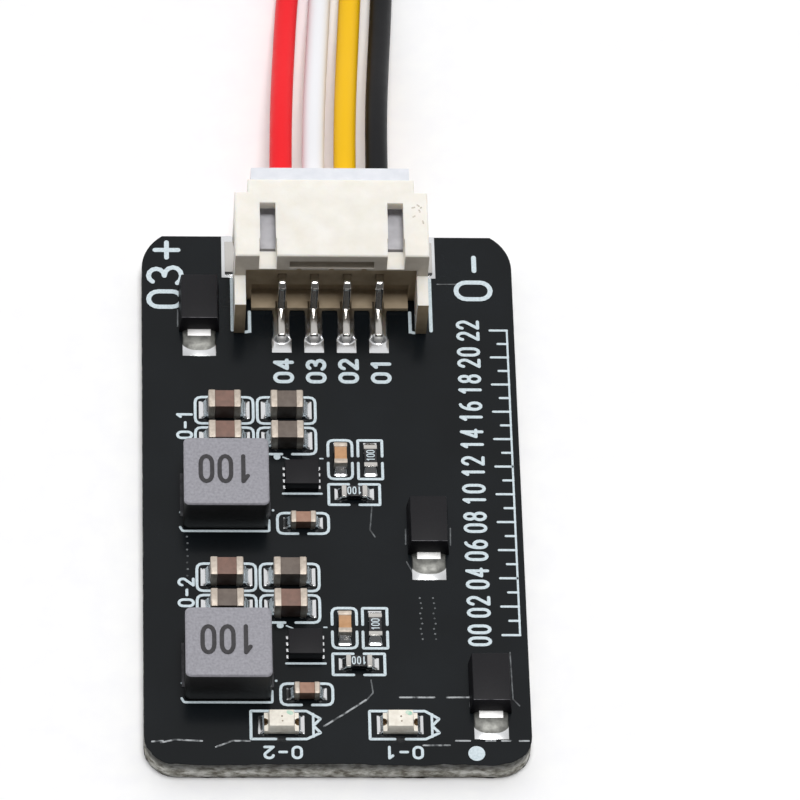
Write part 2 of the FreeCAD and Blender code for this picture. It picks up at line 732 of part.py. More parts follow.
def rounded_route(points):
    """Straight runs joined by arcs that touch both runs. Also gives the arcs' radii."""
    edges = []
    radii = []
    start = points[0]
    for before, corner, after in zip(points, points[1:], points[2:]):
        back, ahead = (before - corner), (after - corner)
        reach = ARC_SHARE * min(back.Length, ahead.Length)
        back.normalize()
        ahead.normalize()
        bend = (math.pi - back.getAngle(ahead)) / 2
        radius = reach / math.tan(bend)
        first, last = corner + back * reach, corner + ahead * reach
        bisector = (back + ahead).normalize()
        centre = corner + bisector * (radius / math.cos(bend))
        middle = centre - bisector * radius
        edges.append(Part.LineSegment(start, first).toShape())
        edges.append(Part.Arc(first, middle, last).toShape())
        radii.append(radius)
        start = last
    edges.append(Part.LineSegment(start, points[-1]).toShape())
    return Part.Wire(edges), radii


def wire_tube(colour, spots):
    """One insulated wire along its route."""
    points = [Vector(*spot) for spot in spots]
    route, radii = rounded_route(points)
    radius = size["wire_diameter"].number / 2
    section = Part.Wire(Part.makeCircle(radius, points[0], points[1] - points[0]))
    tube = doc.addObject("Part::Feature", colour + "_wire")
    tube.Label = colour + "_wire"
    tube.Shape = route.makePipeShell([section], True, False)
    sub_parts.append(tube)
    wanted = math.pi * radius**2 * route.Length
    share = tube.Shape.Volume / wanted
    print(colour, "wire route", round(route.Length, 2), "mm, volume share", round(share, 4))
    print("  radii", [round(item, 1) for item in radii])
    return tube


def turns_part(body, radius, level, wide, tall, start, sweep):
    """An arc of the wound wire about the body's upright axis."""
    sketch = new_sketch(body, "XZ_Plane")
    spin = FreeCAD.Rotation(Vector(0, 1, 0), value(start))
    sketch.AttachmentOffset = FreeCAD.Placement(Vector(0, 0, 0), spin)
    bind(sketch, "AttachmentOffset.Rotation.Angle", start)
    centred(sketch, wide, tall, radius, level)
    feature = body.newObject("PartDesign::Revolution", body.Label + "_turn")
    feature.Profile = sketch
    feature.ReferenceAxis = (sketch, ["V_Axis"])
    feature.Angle = value(sweep)
    bind(feature, "Angle", sweep)
    return feature


for number, colour in enumerate(WIRES):
    wire_tube(colour, WIRES[colour])
    thick = size["wire_diameter"]
    radius = size["lead_coil_radius"] + size["lead_coil_pitch"] * number
    degrees = size["lead_coil_length"] / radius * (180 / math.pi)
    ramp, climb = size["lead_ramp_start"], size["lead_ramp_turn"]
    turns = new_body(colour + "_wire_turns", size["lead_coil_x"], size["lead_coil_y"])
    lower, upper = thick / 2, thick / 2 + size["lead_coil_layer"]
    both, middle = thick + size["lead_coil_layer"], (lower + upper) / 2
    turns_part(turns, radius, lower, thick, thick, ZERO, ramp + climb)
    turns_part(turns, radius, middle, thick, both, ramp, climb)
    turns_part(turns, radius, upper, thick, thick, ramp, degrees - ramp)
    tip = new_body(colour + "_wire_tip", size["lead_coil_x"], size["lead_coil_y"])
    strands = size["strand_diameter"]
    tip_turn = size["tip_length"] / radius * (180 / math.pi)
    turns_part(tip, radius, upper, strands, strands, degrees, tip_turn)


# Chip components

def end_capped_block(label, x, y, turn, length, width, height, end):
    """A ceramic block with a metal end cap on each end, standing a little proud of it."""
    inset = size["end_proud"]
    body = new_body(label, x, y, pad_top, turn)
    ends = new_sketch(body)
    for _, middle in sides(length / 2 - end / 2):
        centred(ends, end, width, x=middle)
    pad(body, ends, height)
    core = new_sketch(body, level=inset)
    centred(core, length - end, width - inset * 2)
    pad(body, core, height - inset * 2)
    return body


def soften_ends(body, radius, length):
    """Rounds the outer edges of both ends."""
    reach = value(length) / 2

    def is_outer(edge):
        box = edge.BoundBox
        return abs(abs(box.XMin) - reach) < 1e-3 and abs(box.XMax - box.XMin) < 1e-3

    soften(body, radius, is_outer)


def capacitor(label, x, y, turn, kind):
    """A layered ceramic capacitor, storage or small."""
    length, width = size[kind + "_length"], size[kind + "_width"]
    height = size["storage_height" if kind == "storage" else "small_capacitor_height"]
    body = end_capped_block(label, x, y, turn, length, width, height, size[kind + "_cap"])
    soften_ends(body, size["end_round"], length)


def resistor(label, x, y, turn):
    """A thick-film resistor: a thin plate with wrapped ends."""
    length, width, height = size["small_length"], size["small_width"], size["resistor_height"]
    end_capped_block(label, x, y, turn, length, width, height, size["resistor_cap"])


def choke(number, x, y):
    """A moulded power inductor with flat straps folded round its two ends."""
    width, depth = size["choke_width"], size["choke_depth"]
    body = new_body("power_inductor_%s" % number, x, y, pad_top)
    plan = new_sketch(body)
    rounded(plan, width, depth, size["choke_corner"])
    pad(body, plan, size["choke_height"])
    bevel(body, size["choke_edge"], lies_at(value(size["choke_height"])))
    thick = size["strap_thickness"]
    seats = new_sketch(body)
    for _, middle in sides(width / 2 - thick / 2):
        centred(seats, thick, size["strap_width"], x=middle)
    pocket(body, seats, size["strap_height"], flipped=True)
    soles = new_sketch(body)
    for _, middle in sides(width / 2 - size["strap_under"] / 2):
        centred(soles, size["strap_under"], size["strap_width"], x=middle)
    pocket(body, soles, thick, flipped=True)
    straps = []
    for side, middle in sides(width / 2 - thick / 2):
        upright = block("strap_%s_up" % side, thick, size["strap_width"], size["strap_height"],
                        x + middle, y, pad_top)
        inward = 1 if side == "left" else -1
        under_x = x + middle + (size["strap_under"] / 2 - thick / 2) * inward
        under = block("strap_%s_sole" % side, size["strap_under"], size["strap_width"], thick,
                      under_x, y, pad_top)
        strap = doc.addObject("Part::MultiFuse", "strap_%s_%s" % (number, side))
        strap.Shapes = [upright, under]
        strap.Refine = True
        straps.append(strap)
    group("inductor_straps_%s" % number, straps)


def chip(number, x, y):
    """The balancer chip, a small leadless moulding."""
    body = new_body("balancer_chip_%s" % number, x, y, pad_top)
    plan = new_sketch(body)
    centred(plan, size["chip_width"], size["chip_depth"])
    pad(body, plan, size["chip_height"])


for number, shift in channels:
    columns = ((1, size["storage_outer_x"]), (2, size["storage_inner_x"]))
    rows = (("rear", size["storage_rear_y"]), ("front", size["storage_front_y"]))
    for row_name, row_y in rows:
        for column, column_x in columns:
            label = "storage_capacitor_%s_%s_%d" % (number, row_name, column)
            capacitor(label, column_x, row_y + shift, 0, "storage")
    choke(number, size["choke_x"], size["choke_y"] + shift)
    chip(number, size["chip_x"], size["chip_y"] + shift)
    tuning_y = size["tuning_y"] + shift
    capacitor("tuning_capacitor_" + number, size["tuning_capacitor_x"], tuning_y, 90, "small")
    input_y = size["input_capacitor_y"] + shift
    capacitor("input_capacitor_" + number, size["input_capacitor_x"], input_y, 0, "small")
    resistor("tuning_resistor_" + number, size["tuning_resistor_x"], tuning_y, 90)
    bridge_y = size["bridge_resistor_y"] + shift
    resistor("bridge_resistor_" + number, size["bridge_resistor_x"], bridge_y, 0)


# Indicator lamps: a small board with plated notches and a sloping lens

lamp_y = front_edge + size["lamp_from_front"]
for side in ("left", "right"):
    lamp = new_body("indicator_lamp_" + side, size["lamp_%s_x" % side], lamp_y, pad_top)
    base = new_sketch(lamp)
    centred(base, size["lamp_length"], size["lamp_width"])
    pad(lamp, base, size["lamp_base"])
    lens = new_sketch(lamp, level=size["lamp_base"])
    centred(lens, size["lens_length"], size["lamp_width"])
    pad(lamp, lens, size["lamp_height"] - size["lamp_base"], draft=size["lens_draft"])
    notches = new_sketch(lamp)
    for _, end_x in sides(size["lamp_length"] / 2):
        circle(notches, size["lamp_notch"] * 2, x=end_x)
    pocket(lamp, notches, size["lamp_base"], flipped=True)


# Diodes: a moulded body with sloping sides on two flat leads

rear_x = size["header_x"] - half_header - size["diode_rear_from_header"]
diode_places = {
    "rear": (rear_x, size["diode_rear_y"]),
    "middle": (size["diode_middle_x"], size["diode_middle_y"]),
    "front": (size["diode_front_x"], size["diode_front_y"]),
}
for name, (x, y) in diode_places.items():
    body = new_body("diode_" + name, x, y, pad_top)
    plan = new_sketch(body)
    centred(plan, size["diode_width"], size["diode_length"])
    pad(body, plan, size["diode_height"], draft=size["diode_draft"])
    roots = new_sketch(body)
    for _, root_y in sides(size["diode_length"] / 2):
        centred(roots, size["lead_width"], size["lead_root"] * 2, y=root_y)
    pocket(body, roots, size["lead_thickness"], flipped=True)
    leads = []
    lead_length = size["lead_root"] + size["lead_reach"]
    for side, end_y in sides(size["diode_length"] / 2 + size["lead_reach"] - lead_length / 2):
        leads.append(block("lead_" + side, size["lead_width"], lead_length,
                           size["lead_thickness"], x, y + end_y, pad_top))
    group("diode_%s_leads" % name, leads)


# Tinned pads

pads = []


def tinned(length, width, x, y):
    pads.append(block("tinned_pad", length, width, size["pad_thickness"], x, y, board_top))


def end_pads(x, y, turned, length, width, inward, outward):
    """The pair of pads under a part's two ends."""
    long_side = inward + outward
    for _, middle in sides(length / 2 + (outward - inward) / 2):
        if turned:
            tinned(width, long_side, x, y + middle)
        else:
            tinned(long_side, width, x + middle, y)


for pin_x in pin_places:
    width, reach = size["signal_pad_width"], size["signal_pad_reach"]
    tinned(width, reach, size["header_x"] + pin_x, header_front - reach / 2)
mount_width = size["mount_pad_outside"] + size["tab_depth"] * 2
mount_middle = half_header + size["mount_pad_outside"] - mount_width / 2
for _, mount_x in sides(mount_middle):
    mount_y = rear_edge - size["mount_pad_length"] / 2
    tinned(mount_width, size["mount_pad_length"], size["header_x"] + mount_x, mount_y)
for x, y in diode_places.values():
    for outward, direction in ((size["diode_pad_out"], -1), (size["diode_pad_behind"], 1)):
        middle = (size["diode_length"] + outward - size["lead_root"]) / 2 * direction
        tinned(size["diode_pad_width"], size["lead_root"] + outward, x, y + middle)
for side in ("left", "right"):
    x = size["lamp_%s_x" % side]
    width, inward, outward = size["lamp_width"], size["lamp_pad_in"], size["lamp_pad_out"]
    end_pads(x, lamp_y, False, size["lamp_length"], width, inward, outward)
for _, shift in channels:
    for x in (size["storage_outer_x"], size["storage_inner_x"]):
        for y in (size["storage_rear_y"] + shift, size["storage_front_y"] + shift):
            length, width, end = size["storage_length"], size["storage_width"], size["storage_cap"]
            end_pads(x, y, False, length, width, end, size["storage_pad_out"])
    length, width, end = size["small_length"], size["small_width"], size["small_cap"]
    outward = size["small_pad_out"]
    tuning_y = size["tuning_y"] + shift
    end_pads(size["tuning_capacitor_x"], tuning_y, True, length, width, end, outward)
    end_pads(size["tuning_resistor_x"], tuning_y, True, length, width, end, outward)
    bridge_y = size["bridge_resistor_y"] + shift
    end_pads(size["bridge_resistor_x"], bridge_y, False, length, width, end, outward)
    input_y = size["input_capacitor_y"] + shift
    end_pads(size["input_capacitor_x"], input_y, False, length, width, end, outward)
    choke_y = size["choke_y"] + shift
    length, width, end = size["choke_width"], size["strap_width"], size["strap_under"]
    end_pads(size["choke_x"], choke_y, False, length, width, end, size["choke_pad_out"])
    length, width = size["chip_width"], size["chip_pad"]
    for step in (-1.5, -0.5, 0.5, 1.5):
        y = size["chip_y"] + shift + size["chip_contact_pitch"] * step
        end_pads(size["chip_x"], y, False, length, width, width, width / 2)
group("tinned_pads", pads)


# Printed outlines

prints = []
line = size["print_line"]


def bar(length, width, x, y):
    """A straight printed line."""
    prints.append(block("printed_line", length, width, size["print_thickness"], x, y, board_top))


def cut_rectangle(sketch, width, depth, cut):
    """A rectangle about the middle with its corners cut off."""
    right, high = width / 2, depth / 2
    corners = []
    for across, along, first in ((1, -1, "x"), (1, 1, "y"), (-1, 1, "x"), (-1, -1, "y")):
        beside = ((right - cut) * across, high * along)
        above = (right * across, (high - cut) * along)
        corners += [beside, above] if first == "x" else [above, beside]
    outline(sketch, corners)


def printed_frame(x, y, across, along, end_margin, gap_side):
    """A frame round a part, with gaps in its front side or in two opposite sides."""
    side_margin = size["frame_side_margin"]
    upright = gap_side == "sides"
    width = across + (side_margin if upright else end_margin) * 2
    depth = along + (end_margin if upright else side_margin) * 2
    frame = new_body("printed_frame", x, y, board_top, kept=False)
    shape = new_sketch(frame)
    corner = size["print_corner"]
    cut_rectangle(shape, width, depth, corner)
    inner_corner = corner - line * (2 - math.sqrt(2))
    cut_rectangle(shape, width - line * 2, depth - line * 2, inner_corner)
    pad(frame, shape, size["print_thickness"])
    opening = new_sketch(frame)
    if gap_side == "front":
        centred(opening, size["frame_gap"], line * 4, y=-(depth / 2))
    elif gap_side == "front and rear":
        centred(opening, size["frame_gap"], depth * 2)
    else:
        centred(opening, width * 2, size["frame_side_gap"])
    pocket(frame, opening, size["print_thickness"], flipped=True)
    prints.append(frame)


end_margin, upright_margin = size["frame_end_margin"], size["frame_upright_margin"]
small_length, small_width = size["small_length"], size["small_width"]
for _, shift in channels:
    for x in (size["storage_outer_x"], size["storage_inner_x"]):
        for y in (size["storage_rear_y"], size["storage_front_y"]):
            length, width = size["storage_length"], size["storage_width"]
            printed_frame(x, y + shift, length, width, end_margin, "front")
    tuning_y = size["tuning_y"] + shift
    for x in (size["tuning_capacitor_x"], size["tuning_resistor_x"]):
        printed_frame(x, tuning_y, small_width, small_length, upright_margin, "sides")
    x, y = size["bridge_resistor_x"], size["bridge_resistor_y"] + shift
    printed_frame(x, y, small_length, small_width, end_margin, "front and rear")
    x, y = size["input_capacitor_x"], size["input_capacitor_y"] + shift
    printed_frame(x, y, small_length, small_width, end_margin, "front")
    chip_line_y = size["chip_y"] + shift - size["chip_depth"] / 2 - line * 1.5
    bar(size["chip_width"] + size["chip_pad"] * 1.5, line, size["chip_x"], chip_line_y)
    choke_line_y = size["choke_y"] + shift - size["choke_depth"] / 2 - line
    bar(size["choke_width"] + line * 2, line, size["choke_x"], choke_line_y)
for side in ("left", "right"):
    x = size["lamp_%s_x" % side]
    printed_frame(x, lamp_y, size["lamp_length"], size["lamp_width"], end_margin, "front")
group("outline_print", prints)

dot = new_body("printed_dot", size["dot_x"], front_edge + size["dot_from_front"], board_top)
dot_plan = new_sketch(dot)
circle(dot_plan, size["dot_diameter"])
pad(dot, dot_plan, size["print_thickness"])


# Build, test every object, and write one file for each sub-part

doc.recompute()
for thing in doc.Objects:
    if "Invalid" in thing.State or "Error" in thing.State:
        raise RuntimeError(thing.Label + " did not build")
    if thing.TypeId == "PartDesign::Pocket":
        removed = thing.BaseFeature.Shape.Volume - thing.Shape.Volume
        if removed < 1e-4:
            raise RuntimeError(thing.Label + " cuts nothing")
for part in sub_parts:
    if part.Shape.isNull() or not part.Shape.isValid():
        raise RuntimeError(part.Label + " has no valid shape")
os.makedirs("parts", exist_ok=True)
for part in sub_parts:
    part.Shape.exportStep("parts/" + part.Label + ".step")
print(len(sub_parts), "sub-parts written")
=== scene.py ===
# %% [markdown]
# # A small balancer board, dressed for its portrait
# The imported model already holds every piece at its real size. This lesson leaves those sizes
# alone and gives each piece what a plain solid lacks: rounded edges, solder, ink, and the
# finish that its making left on it. All helper functions take millimetres, because that is
# how a circuit board is drawn, and turn them into Blender's metres at the last moment.

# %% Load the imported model
import math
import random

import bmesh
import bpy
from mathutils import Matrix, Vector


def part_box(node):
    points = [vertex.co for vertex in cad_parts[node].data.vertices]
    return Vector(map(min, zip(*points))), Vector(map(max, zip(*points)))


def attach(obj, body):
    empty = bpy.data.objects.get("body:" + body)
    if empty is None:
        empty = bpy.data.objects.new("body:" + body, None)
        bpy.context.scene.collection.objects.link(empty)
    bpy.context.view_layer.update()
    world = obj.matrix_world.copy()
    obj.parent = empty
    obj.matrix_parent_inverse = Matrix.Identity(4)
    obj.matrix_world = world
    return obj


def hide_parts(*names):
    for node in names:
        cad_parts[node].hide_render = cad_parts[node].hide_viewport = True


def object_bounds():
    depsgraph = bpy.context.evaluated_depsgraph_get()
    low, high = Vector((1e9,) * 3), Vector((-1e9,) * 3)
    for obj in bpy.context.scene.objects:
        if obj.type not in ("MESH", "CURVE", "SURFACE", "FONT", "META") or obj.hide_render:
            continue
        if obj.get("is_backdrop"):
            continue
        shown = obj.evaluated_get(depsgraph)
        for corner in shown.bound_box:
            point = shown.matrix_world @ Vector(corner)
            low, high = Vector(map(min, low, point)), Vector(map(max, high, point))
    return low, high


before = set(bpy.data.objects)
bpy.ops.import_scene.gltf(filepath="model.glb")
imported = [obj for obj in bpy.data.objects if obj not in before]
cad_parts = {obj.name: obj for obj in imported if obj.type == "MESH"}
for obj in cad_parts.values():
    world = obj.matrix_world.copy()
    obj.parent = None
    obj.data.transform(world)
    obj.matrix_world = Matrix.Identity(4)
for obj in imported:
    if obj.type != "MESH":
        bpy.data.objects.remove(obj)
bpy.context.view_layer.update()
MM = 0.001


def box_mm(name):
    """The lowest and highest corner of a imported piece, in millimetres."""
    low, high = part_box(name)
    return low / MM, high / MM


def middle_mm(name):
    """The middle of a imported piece's box, in millimetres."""
    low, high = box_mm(name)
    return (low + high) / 2


def add_object(name, data):
    """A new object in the scene."""
    made = bpy.data.objects.new(name, data)
    bpy.context.scene.collection.objects.link(made)
    return made


board_low, board_high = box_mm("circuit_board")
board_top = board_high.z
print("packed pieces:", len(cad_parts), "and the board's top at", round(board_top, 3), "mm")


# %% [markdown]
# ## Where the camera stands
# The board's four corners in the picture fix the camera: a long lens, a little left of the
# board's middle, looking down at 56.5 degrees, with the picture turned by five degrees. The
# camera's axes are built from those angles by cross products, so nothing is guessed by eye.

# %% Camera
camera_elevation = math.radians(56.5094)
camera_azimuth = math.radians(-5.8108)
camera_roll = math.radians(5.1032)
camera_distance = 378.014 * MM
camera_target = Vector((4.2993, 6.8462, board_top)) * MM

back = Vector((
    math.sin(camera_azimuth) * math.cos(camera_elevation),
    -math.cos(camera_azimuth) * math.cos(camera_elevation),
    math.sin(camera_elevation),
))
level = (-back).cross(Vector((0, 0, 1))).normalized()
upward = level.cross(-back)
across = level * math.cos(camera_roll) + upward * math.sin(camera_roll)
above = upward * math.cos(camera_roll) - level * math.sin(camera_roll)

camera_data = bpy.data.cameras.new("portrait_camera")
camera_data.sensor_width = 36
camera_data.lens = 277.254
camera_data.clip_start = 0.01
camera = add_object("portrait_camera", camera_data)
axes = Matrix((across, above, back)).transposed()
camera.matrix_world = Matrix.Translation(camera_target + back * camera_distance) @ axes.to_4x4()
bpy.context.scene.camera = camera
print("camera stands", round(camera_distance, 3), "m from the board")


# %% [markdown]
# ## Colours and nodes
# Screen colours are stored with a curve, and shaders want the straight amount of light, so
# one function turns a hex code into a linear colour. A second small function adds a node:
# it takes the kind, its inputs, each a value or another node's socket, and its own settings.
# A material then reads like a recipe: patterns first, and the finished surface last. Most
# finishes on this board follow one recipe, `skin`: lumps of one size, in which the tone, the
# gloss and the relief wander together. The few that need more are written out.

# %% Helpers for materials
def linear(code):
    """A screen colour such as #ff8800 as the linear colour that shaders use."""
    channels = [int(code[start:start + 2], 16) / 255 for start in (1, 3, 5)]
    straight = [c / 12.92 if c <= 0.04045 else ((c + 0.055) / 1.055) ** 2.4 for c in channels]
    return (*straight, 1.0)


def add_node(tree, kind, inputs, stops=(), **settings):
    """Adds one node. An input is a value, a socket, or a node whose first output is meant."""
    made = tree.nodes.new(kind)
    for name, setting in settings.items():
        setattr(made, name, setting)
    for name, wanted in inputs.items():
        if isinstance(wanted, bpy.types.Node):
            wanted = wanted.outputs[0]
        if isinstance(wanted, bpy.types.NodeSocket):
            tree.links.new(wanted, made.inputs[name])
        else:
            made.inputs[name].default_value = wanted
    for number, (position, code) in enumerate(stops):
        band = made.color_ramp.elements
        stop = band[number] if number < 2 else band.new(position)
        stop.position = position
        stop.color = linear(code)
    return made


def start_material(name):
    """An empty material. Returns its tree, and the place of each point of the piece."""
    material = bpy.data.materials.new(name)
    material.use_nodes = True
    material.node_tree.nodes.clear()
    place = material.node_tree.nodes.new("ShaderNodeTexCoord").outputs["Object"]
    return material, material.node_tree, place


def finish_material(tree, inputs):
    """Closes a recipe with the surface itself."""
    surface = add_node(tree, "ShaderNodeBsdfPrincipled", inputs)
    add_node(tree, "ShaderNodeOutputMaterial", {"Surface": surface})


def lumps(size_mm):
    """The noise scale that gives lumps of about this size."""
    return 1 / (size_mm * MM)


def skin(name, lump_mm, detail, tones, roughness, relief_mm=0, others=()):
    """A finish whose tone, gloss and relief wander in lumps of one size.

    The tones are one hex code, or a dark and a light one with their places on the ramp. The
    roughness is one value, or the least and the most.
    """
    material, tree, place = start_material(name)
    wander = add_node(tree, "ShaderNodeTexNoise",
                      {"Vector": place, "Scale": lumps(lump_mm), "Detail": detail})
    inputs = {"Roughness": roughness, **dict(others)}
    if isinstance(tones, str):
        inputs["Base Color"] = linear(tones)
    else:
        inputs["Base Color"] = add_node(tree, "ShaderNodeValToRGB", {"Fac": wander}, stops=tones)
    if isinstance(roughness, tuple):
        inputs["Roughness"] = add_node(tree, "ShaderNodeMapRange", {
            "Value": wander, "To Min": roughness[0], "To Max": roughness[1]})
    if relief_mm:
        inputs["Normal"] = add_node(tree, "ShaderNodeBump", {
            "Height": wander, "Distance": relief_mm * MM})
    finish_material(tree, inputs)
    return material


METAL = {"Metallic": 1.0}
print("mid grey #808080 is", round(linear("#808080")[0], 3), "in linear light")


# %% [markdown]
# ## Helpers for shapes
# Two tools make most pieces. `soft_copy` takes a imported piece, joins its triangles back into
# flat faces and rounds the edges, because a real edge always catches a thin line of light.
# `new_piece` turns a pile of points and faces into an object. A pile holds many small closed
# solids, such as the strokes of a number, that belong to one piece.

# %% Helpers for shapes
class Pile:
    """Points in millimetres and faces of one piece that is made of small closed solids."""

    def __init__(self):
        self.points, self.faces, self.strokes = [], [], 0

    def add(self, points, faces):
        start = len(self.points)
        self.points += points
        self.faces += [[start + corner for corner in face] for face in faces]


def edit_mesh(mesh, edit):
    """Changes a mesh by an edit that works on Blender's editable kind of mesh."""
    work = bmesh.new()
    work.from_mesh(mesh)
    edit(work)
    work.to_mesh(mesh)
    work.free()


def finish_piece(piece, materials, smooth_angle=40):
    """Gives a piece its materials, its smooth shading and the body it rides on."""
    for material in materials:
        piece.data.materials.append(material)
    if piece.type == "MESH":
        piece.data.shade_smooth()
        piece.data.set_sharp_from_angle(angle=math.radians(smooth_angle))
    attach(piece, "root")
    return piece


def new_piece(name, pile, materials, smooth_angle=40):
    """A mesh piece from a pile, with all its faces turned outwards."""
    mesh = bpy.data.meshes.new(name)
    mesh.from_pydata([Vector(point) * MM for point in pile.points], [], pile.faces)
    edit_mesh(mesh, lambda work: bmesh.ops.recalc_face_normals(work, faces=work.faces))
    return finish_piece(add_object(name, mesh), materials, smooth_angle)


def join_flat_faces(work):
    """Joins the triangles of flat faces, so that only real edges are left."""
    bmesh.ops.remove_doubles(work, verts=work.verts, dist=0.0005 * MM)
    bmesh.ops.dissolve_limit(work, angle_limit=math.radians(1), verts=work.verts, edges=work.edges)


def soft_copy(name, edge_mm, materials, segments=3):
    """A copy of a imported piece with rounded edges, which stands in for it."""
    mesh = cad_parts[name].data.copy()
    mesh.materials.clear()
    edit_mesh(mesh, join_flat_faces)
    piece = add_object(name + "_finished", mesh)
    rounding = piece.modifiers.new("rounding", "BEVEL")
    rounding.width = edge_mm * MM
    rounding.segments = segments
    rounding.limit_method = "ANGLE"
    rounding.angle_limit = math.radians(30)
    graph = bpy.context.evaluated_depsgraph_get()
    rounded = bpy.data.meshes.new_from_object(piece.evaluated_get(graph))
    piece.modifiers.clear()
    piece.data = rounded
    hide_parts(name)
    return finish_piece(piece, materials, 50)


def cut_across(piece, y_mm):
    """Cuts the faces of a piece along a plane across the board, and changes no shape."""
    edit_mesh(piece.data, lambda work: bmesh.ops.bisect_plane(
        work, geom=work.verts[:] + work.edges[:] + work.faces[:],
        plane_co=(0, y_mm * MM, 0), plane_no=(0, 1, 0)))


def paint_faces(piece, number, chosen):
    """Gives one of the piece's materials to faces chosen by middle, in mm, and direction."""
    for face in piece.data.polygons:
        if chosen(face.center / MM, face.normal):
            face.material_index = number


print("packed pieces have", sum(len(node.data.polygons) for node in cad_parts.values()), "faces")


# %% [markdown]
# ## The lead
# The four wires are stranded copper in soft PVC, which is squeezed hot over the strands and
# keeps a satin skin. A mesh tube would need many faces to look round, so each wire is one
# NURBS curve with a round bevel: it leaves the plug level, sinks to the table and runs on past
# the top of the picture. Its points are the imported model's own.

# %% Wire routes, in metres
WIRE_ROUTES = {
    "red": [
        (-0.0029, 0.0194, 0.00415), (-0.00286, 0.0232, 0.00413), (-0.00272, 0.0278, 0.0035),
        (-0.00244, 0.0328, 0.00205), (-0.00212, 0.0378, 0.00095), (-0.0016, 0.043, 0.00072),
        (-0.0007, 0.0486, 0.0007), (-0.00012, 0.0538, 0.00071), (-0.00005, 0.058, 0.0007),
    ],
    "white": [
        (-0.0009, 0.0194, 0.00415), (-0.00084, 0.0232, 0.00414), (-0.00066, 0.0278, 0.00355),
        (-0.00034, 0.0328, 0.0021), (-0.00002, 0.0378, 0.00097), (0.00034, 0.043, 0.00072),
        (0.00096, 0.0486, 0.0007), (0.00139, 0.0538, 0.00071), (0.00145, 0.058, 0.0007),
    ],
    "yellow": [
        (0.0011, 0.0194, 0.00415), (0.00113, 0.0232, 0.00413), (0.0013, 0.0278, 0.00352),
        (0.0016, 0.0328, 0.00207), (0.00192, 0.0378, 0.00096), (0.0022, 0.043, 0.00072),
        (0.00262, 0.0486, 0.0007), (0.00291, 0.0538, 0.00071), (0.00295, 0.058, 0.0007),
    ],
    "black": [
        (0.0031, 0.0194, 0.00415), (0.00312, 0.0232, 0.00412), (0.00326, 0.0278, 0.00345),
        (0.0036, 0.0328, 0.002), (0.00394, 0.0378, 0.00093), (0.00414, 0.043, 0.00072),
        (0.00432, 0.0486, 0.0007), (0.00443, 0.0538, 0.00071), (0.00445, 0.058, 0.0007),
    ],
}
wire_diameter = 1.4
print("each route has", len(WIRE_ROUTES["red"]), "points by hand")


# %% The finish of the wires
WIRE_COLOURS = {"red": "#ee1a24", "white": "#ebebee", "yellow": "#eeba06", "black": "#101013"}


def soft_pvc(colour, code):
    """Extruded PVC: satin, with faint lumps where the strands press from inside."""
    return skin(colour + "_soft_pvc", 0.8, 3, code, (0.36, 0.52), 0.012,
                {"Specular IOR Level": 0.2})


# Copper wire drawn fine and dipped in tin: grey and bright. Its drawn skin has marks finer
# than this, which are drawn coarser so that they soften the shine
tinned_copper = skin("tinned_copper_strands", 0.1, 2, "#c9c8c6", (0.2, 0.4), 0.004, METAL)
print("wire colours:", ", ".join(WIRE_COLOURS))


# %% [markdown]
# ## The coil
# A spare length is put away in a neat coil, each wire a ring of its own radius, and where a
# wire meets its own start it climbs into a second layer. The coil is more points of the same
# curve, fifteen to a turn. A curve of this kind cuts inside its corner points, so the points
# stand a little further out than the wire. The stripped ends show seven strands, twisted.

# %% Points of the coil, in millimetres and degrees
coil_middle = Vector((-6.2, 58.0, 0))
first_radius, wire_pitch = 6.15, 1.5
lower_level, upper_level = 0.7, 2.15
turns_length, tip_length = 59.0, 3.0
climb_start, climb_end = 225, 290
strand_diameter = 0.26


def coil_point(radius, angle):
    """A point of a wire's middle on its turns: one layer, a climb, then the layer above."""
    share = min(max((angle - climb_start) / (climb_end - climb_start), 0), 1)
    height = lower_level + (upper_level - lower_level) * (3 - 2 * share) * share ** 2
    turned = math.radians(angle)
    reach = Vector((math.cos(turned) * radius, math.sin(turned) * radius, height))
    return (coil_middle + reach) * MM


def coil_turns(radius):
    """The points of a wire's turns, at least fifteen to a turn, and the last angle."""
    last = math.degrees(turns_length / radius)
    count = math.ceil(last / 24)
    angles = [last * step / count for step in range(1, count)]
    outward = radius / math.cos(math.radians(last / count / 2))
    return [coil_point(outward, angle) for angle in angles] + [coil_point(radius, last)], last


def twisted_strands(radius, start):
    """Seven fine strands, six about one, that twist along the stripped end."""
    sweep = math.degrees(tip_length / radius)
    strands = []
    for strand in range(7):
        points = []
        for step in range(7):
            share = step / 6
            twist = math.radians(60 * strand + 150 * share)
            middle = coil_point(radius, start + sweep * share)
            aside = (middle - coil_middle * MM).to_2d().normalized() * math.cos(twist)
            reach = 0 if strand == 6 else strand_diameter * MM
            points.append(middle + Vector((*aside, math.sin(twist))) * reach)
        strands.append(points)
    return strands


def wire_curve(name, routes, diameter_mm, roundness):
    """A curve with one smooth NURBS spline for each list of points."""
    curve = bpy.data.curves.new(name, "CURVE")
    curve.dimensions = "3D"
    curve.bevel_depth = diameter_mm / 2 * MM
    curve.bevel_resolution = roundness
    curve.use_fill_caps = True
    for points in routes:
        spline = curve.splines.new("NURBS")
        spline.points.add(len(points) - 1)
        for knot, point in zip(spline.points, points):
            knot.co = (*point, 1)
        spline.order_u = 3
        spline.use_endpoint_u = True
        spline.resolution_u = 8
    return add_object(name, curve)


print("the red wire turns through", round(coil_turns(first_radius)[1]), "degrees")


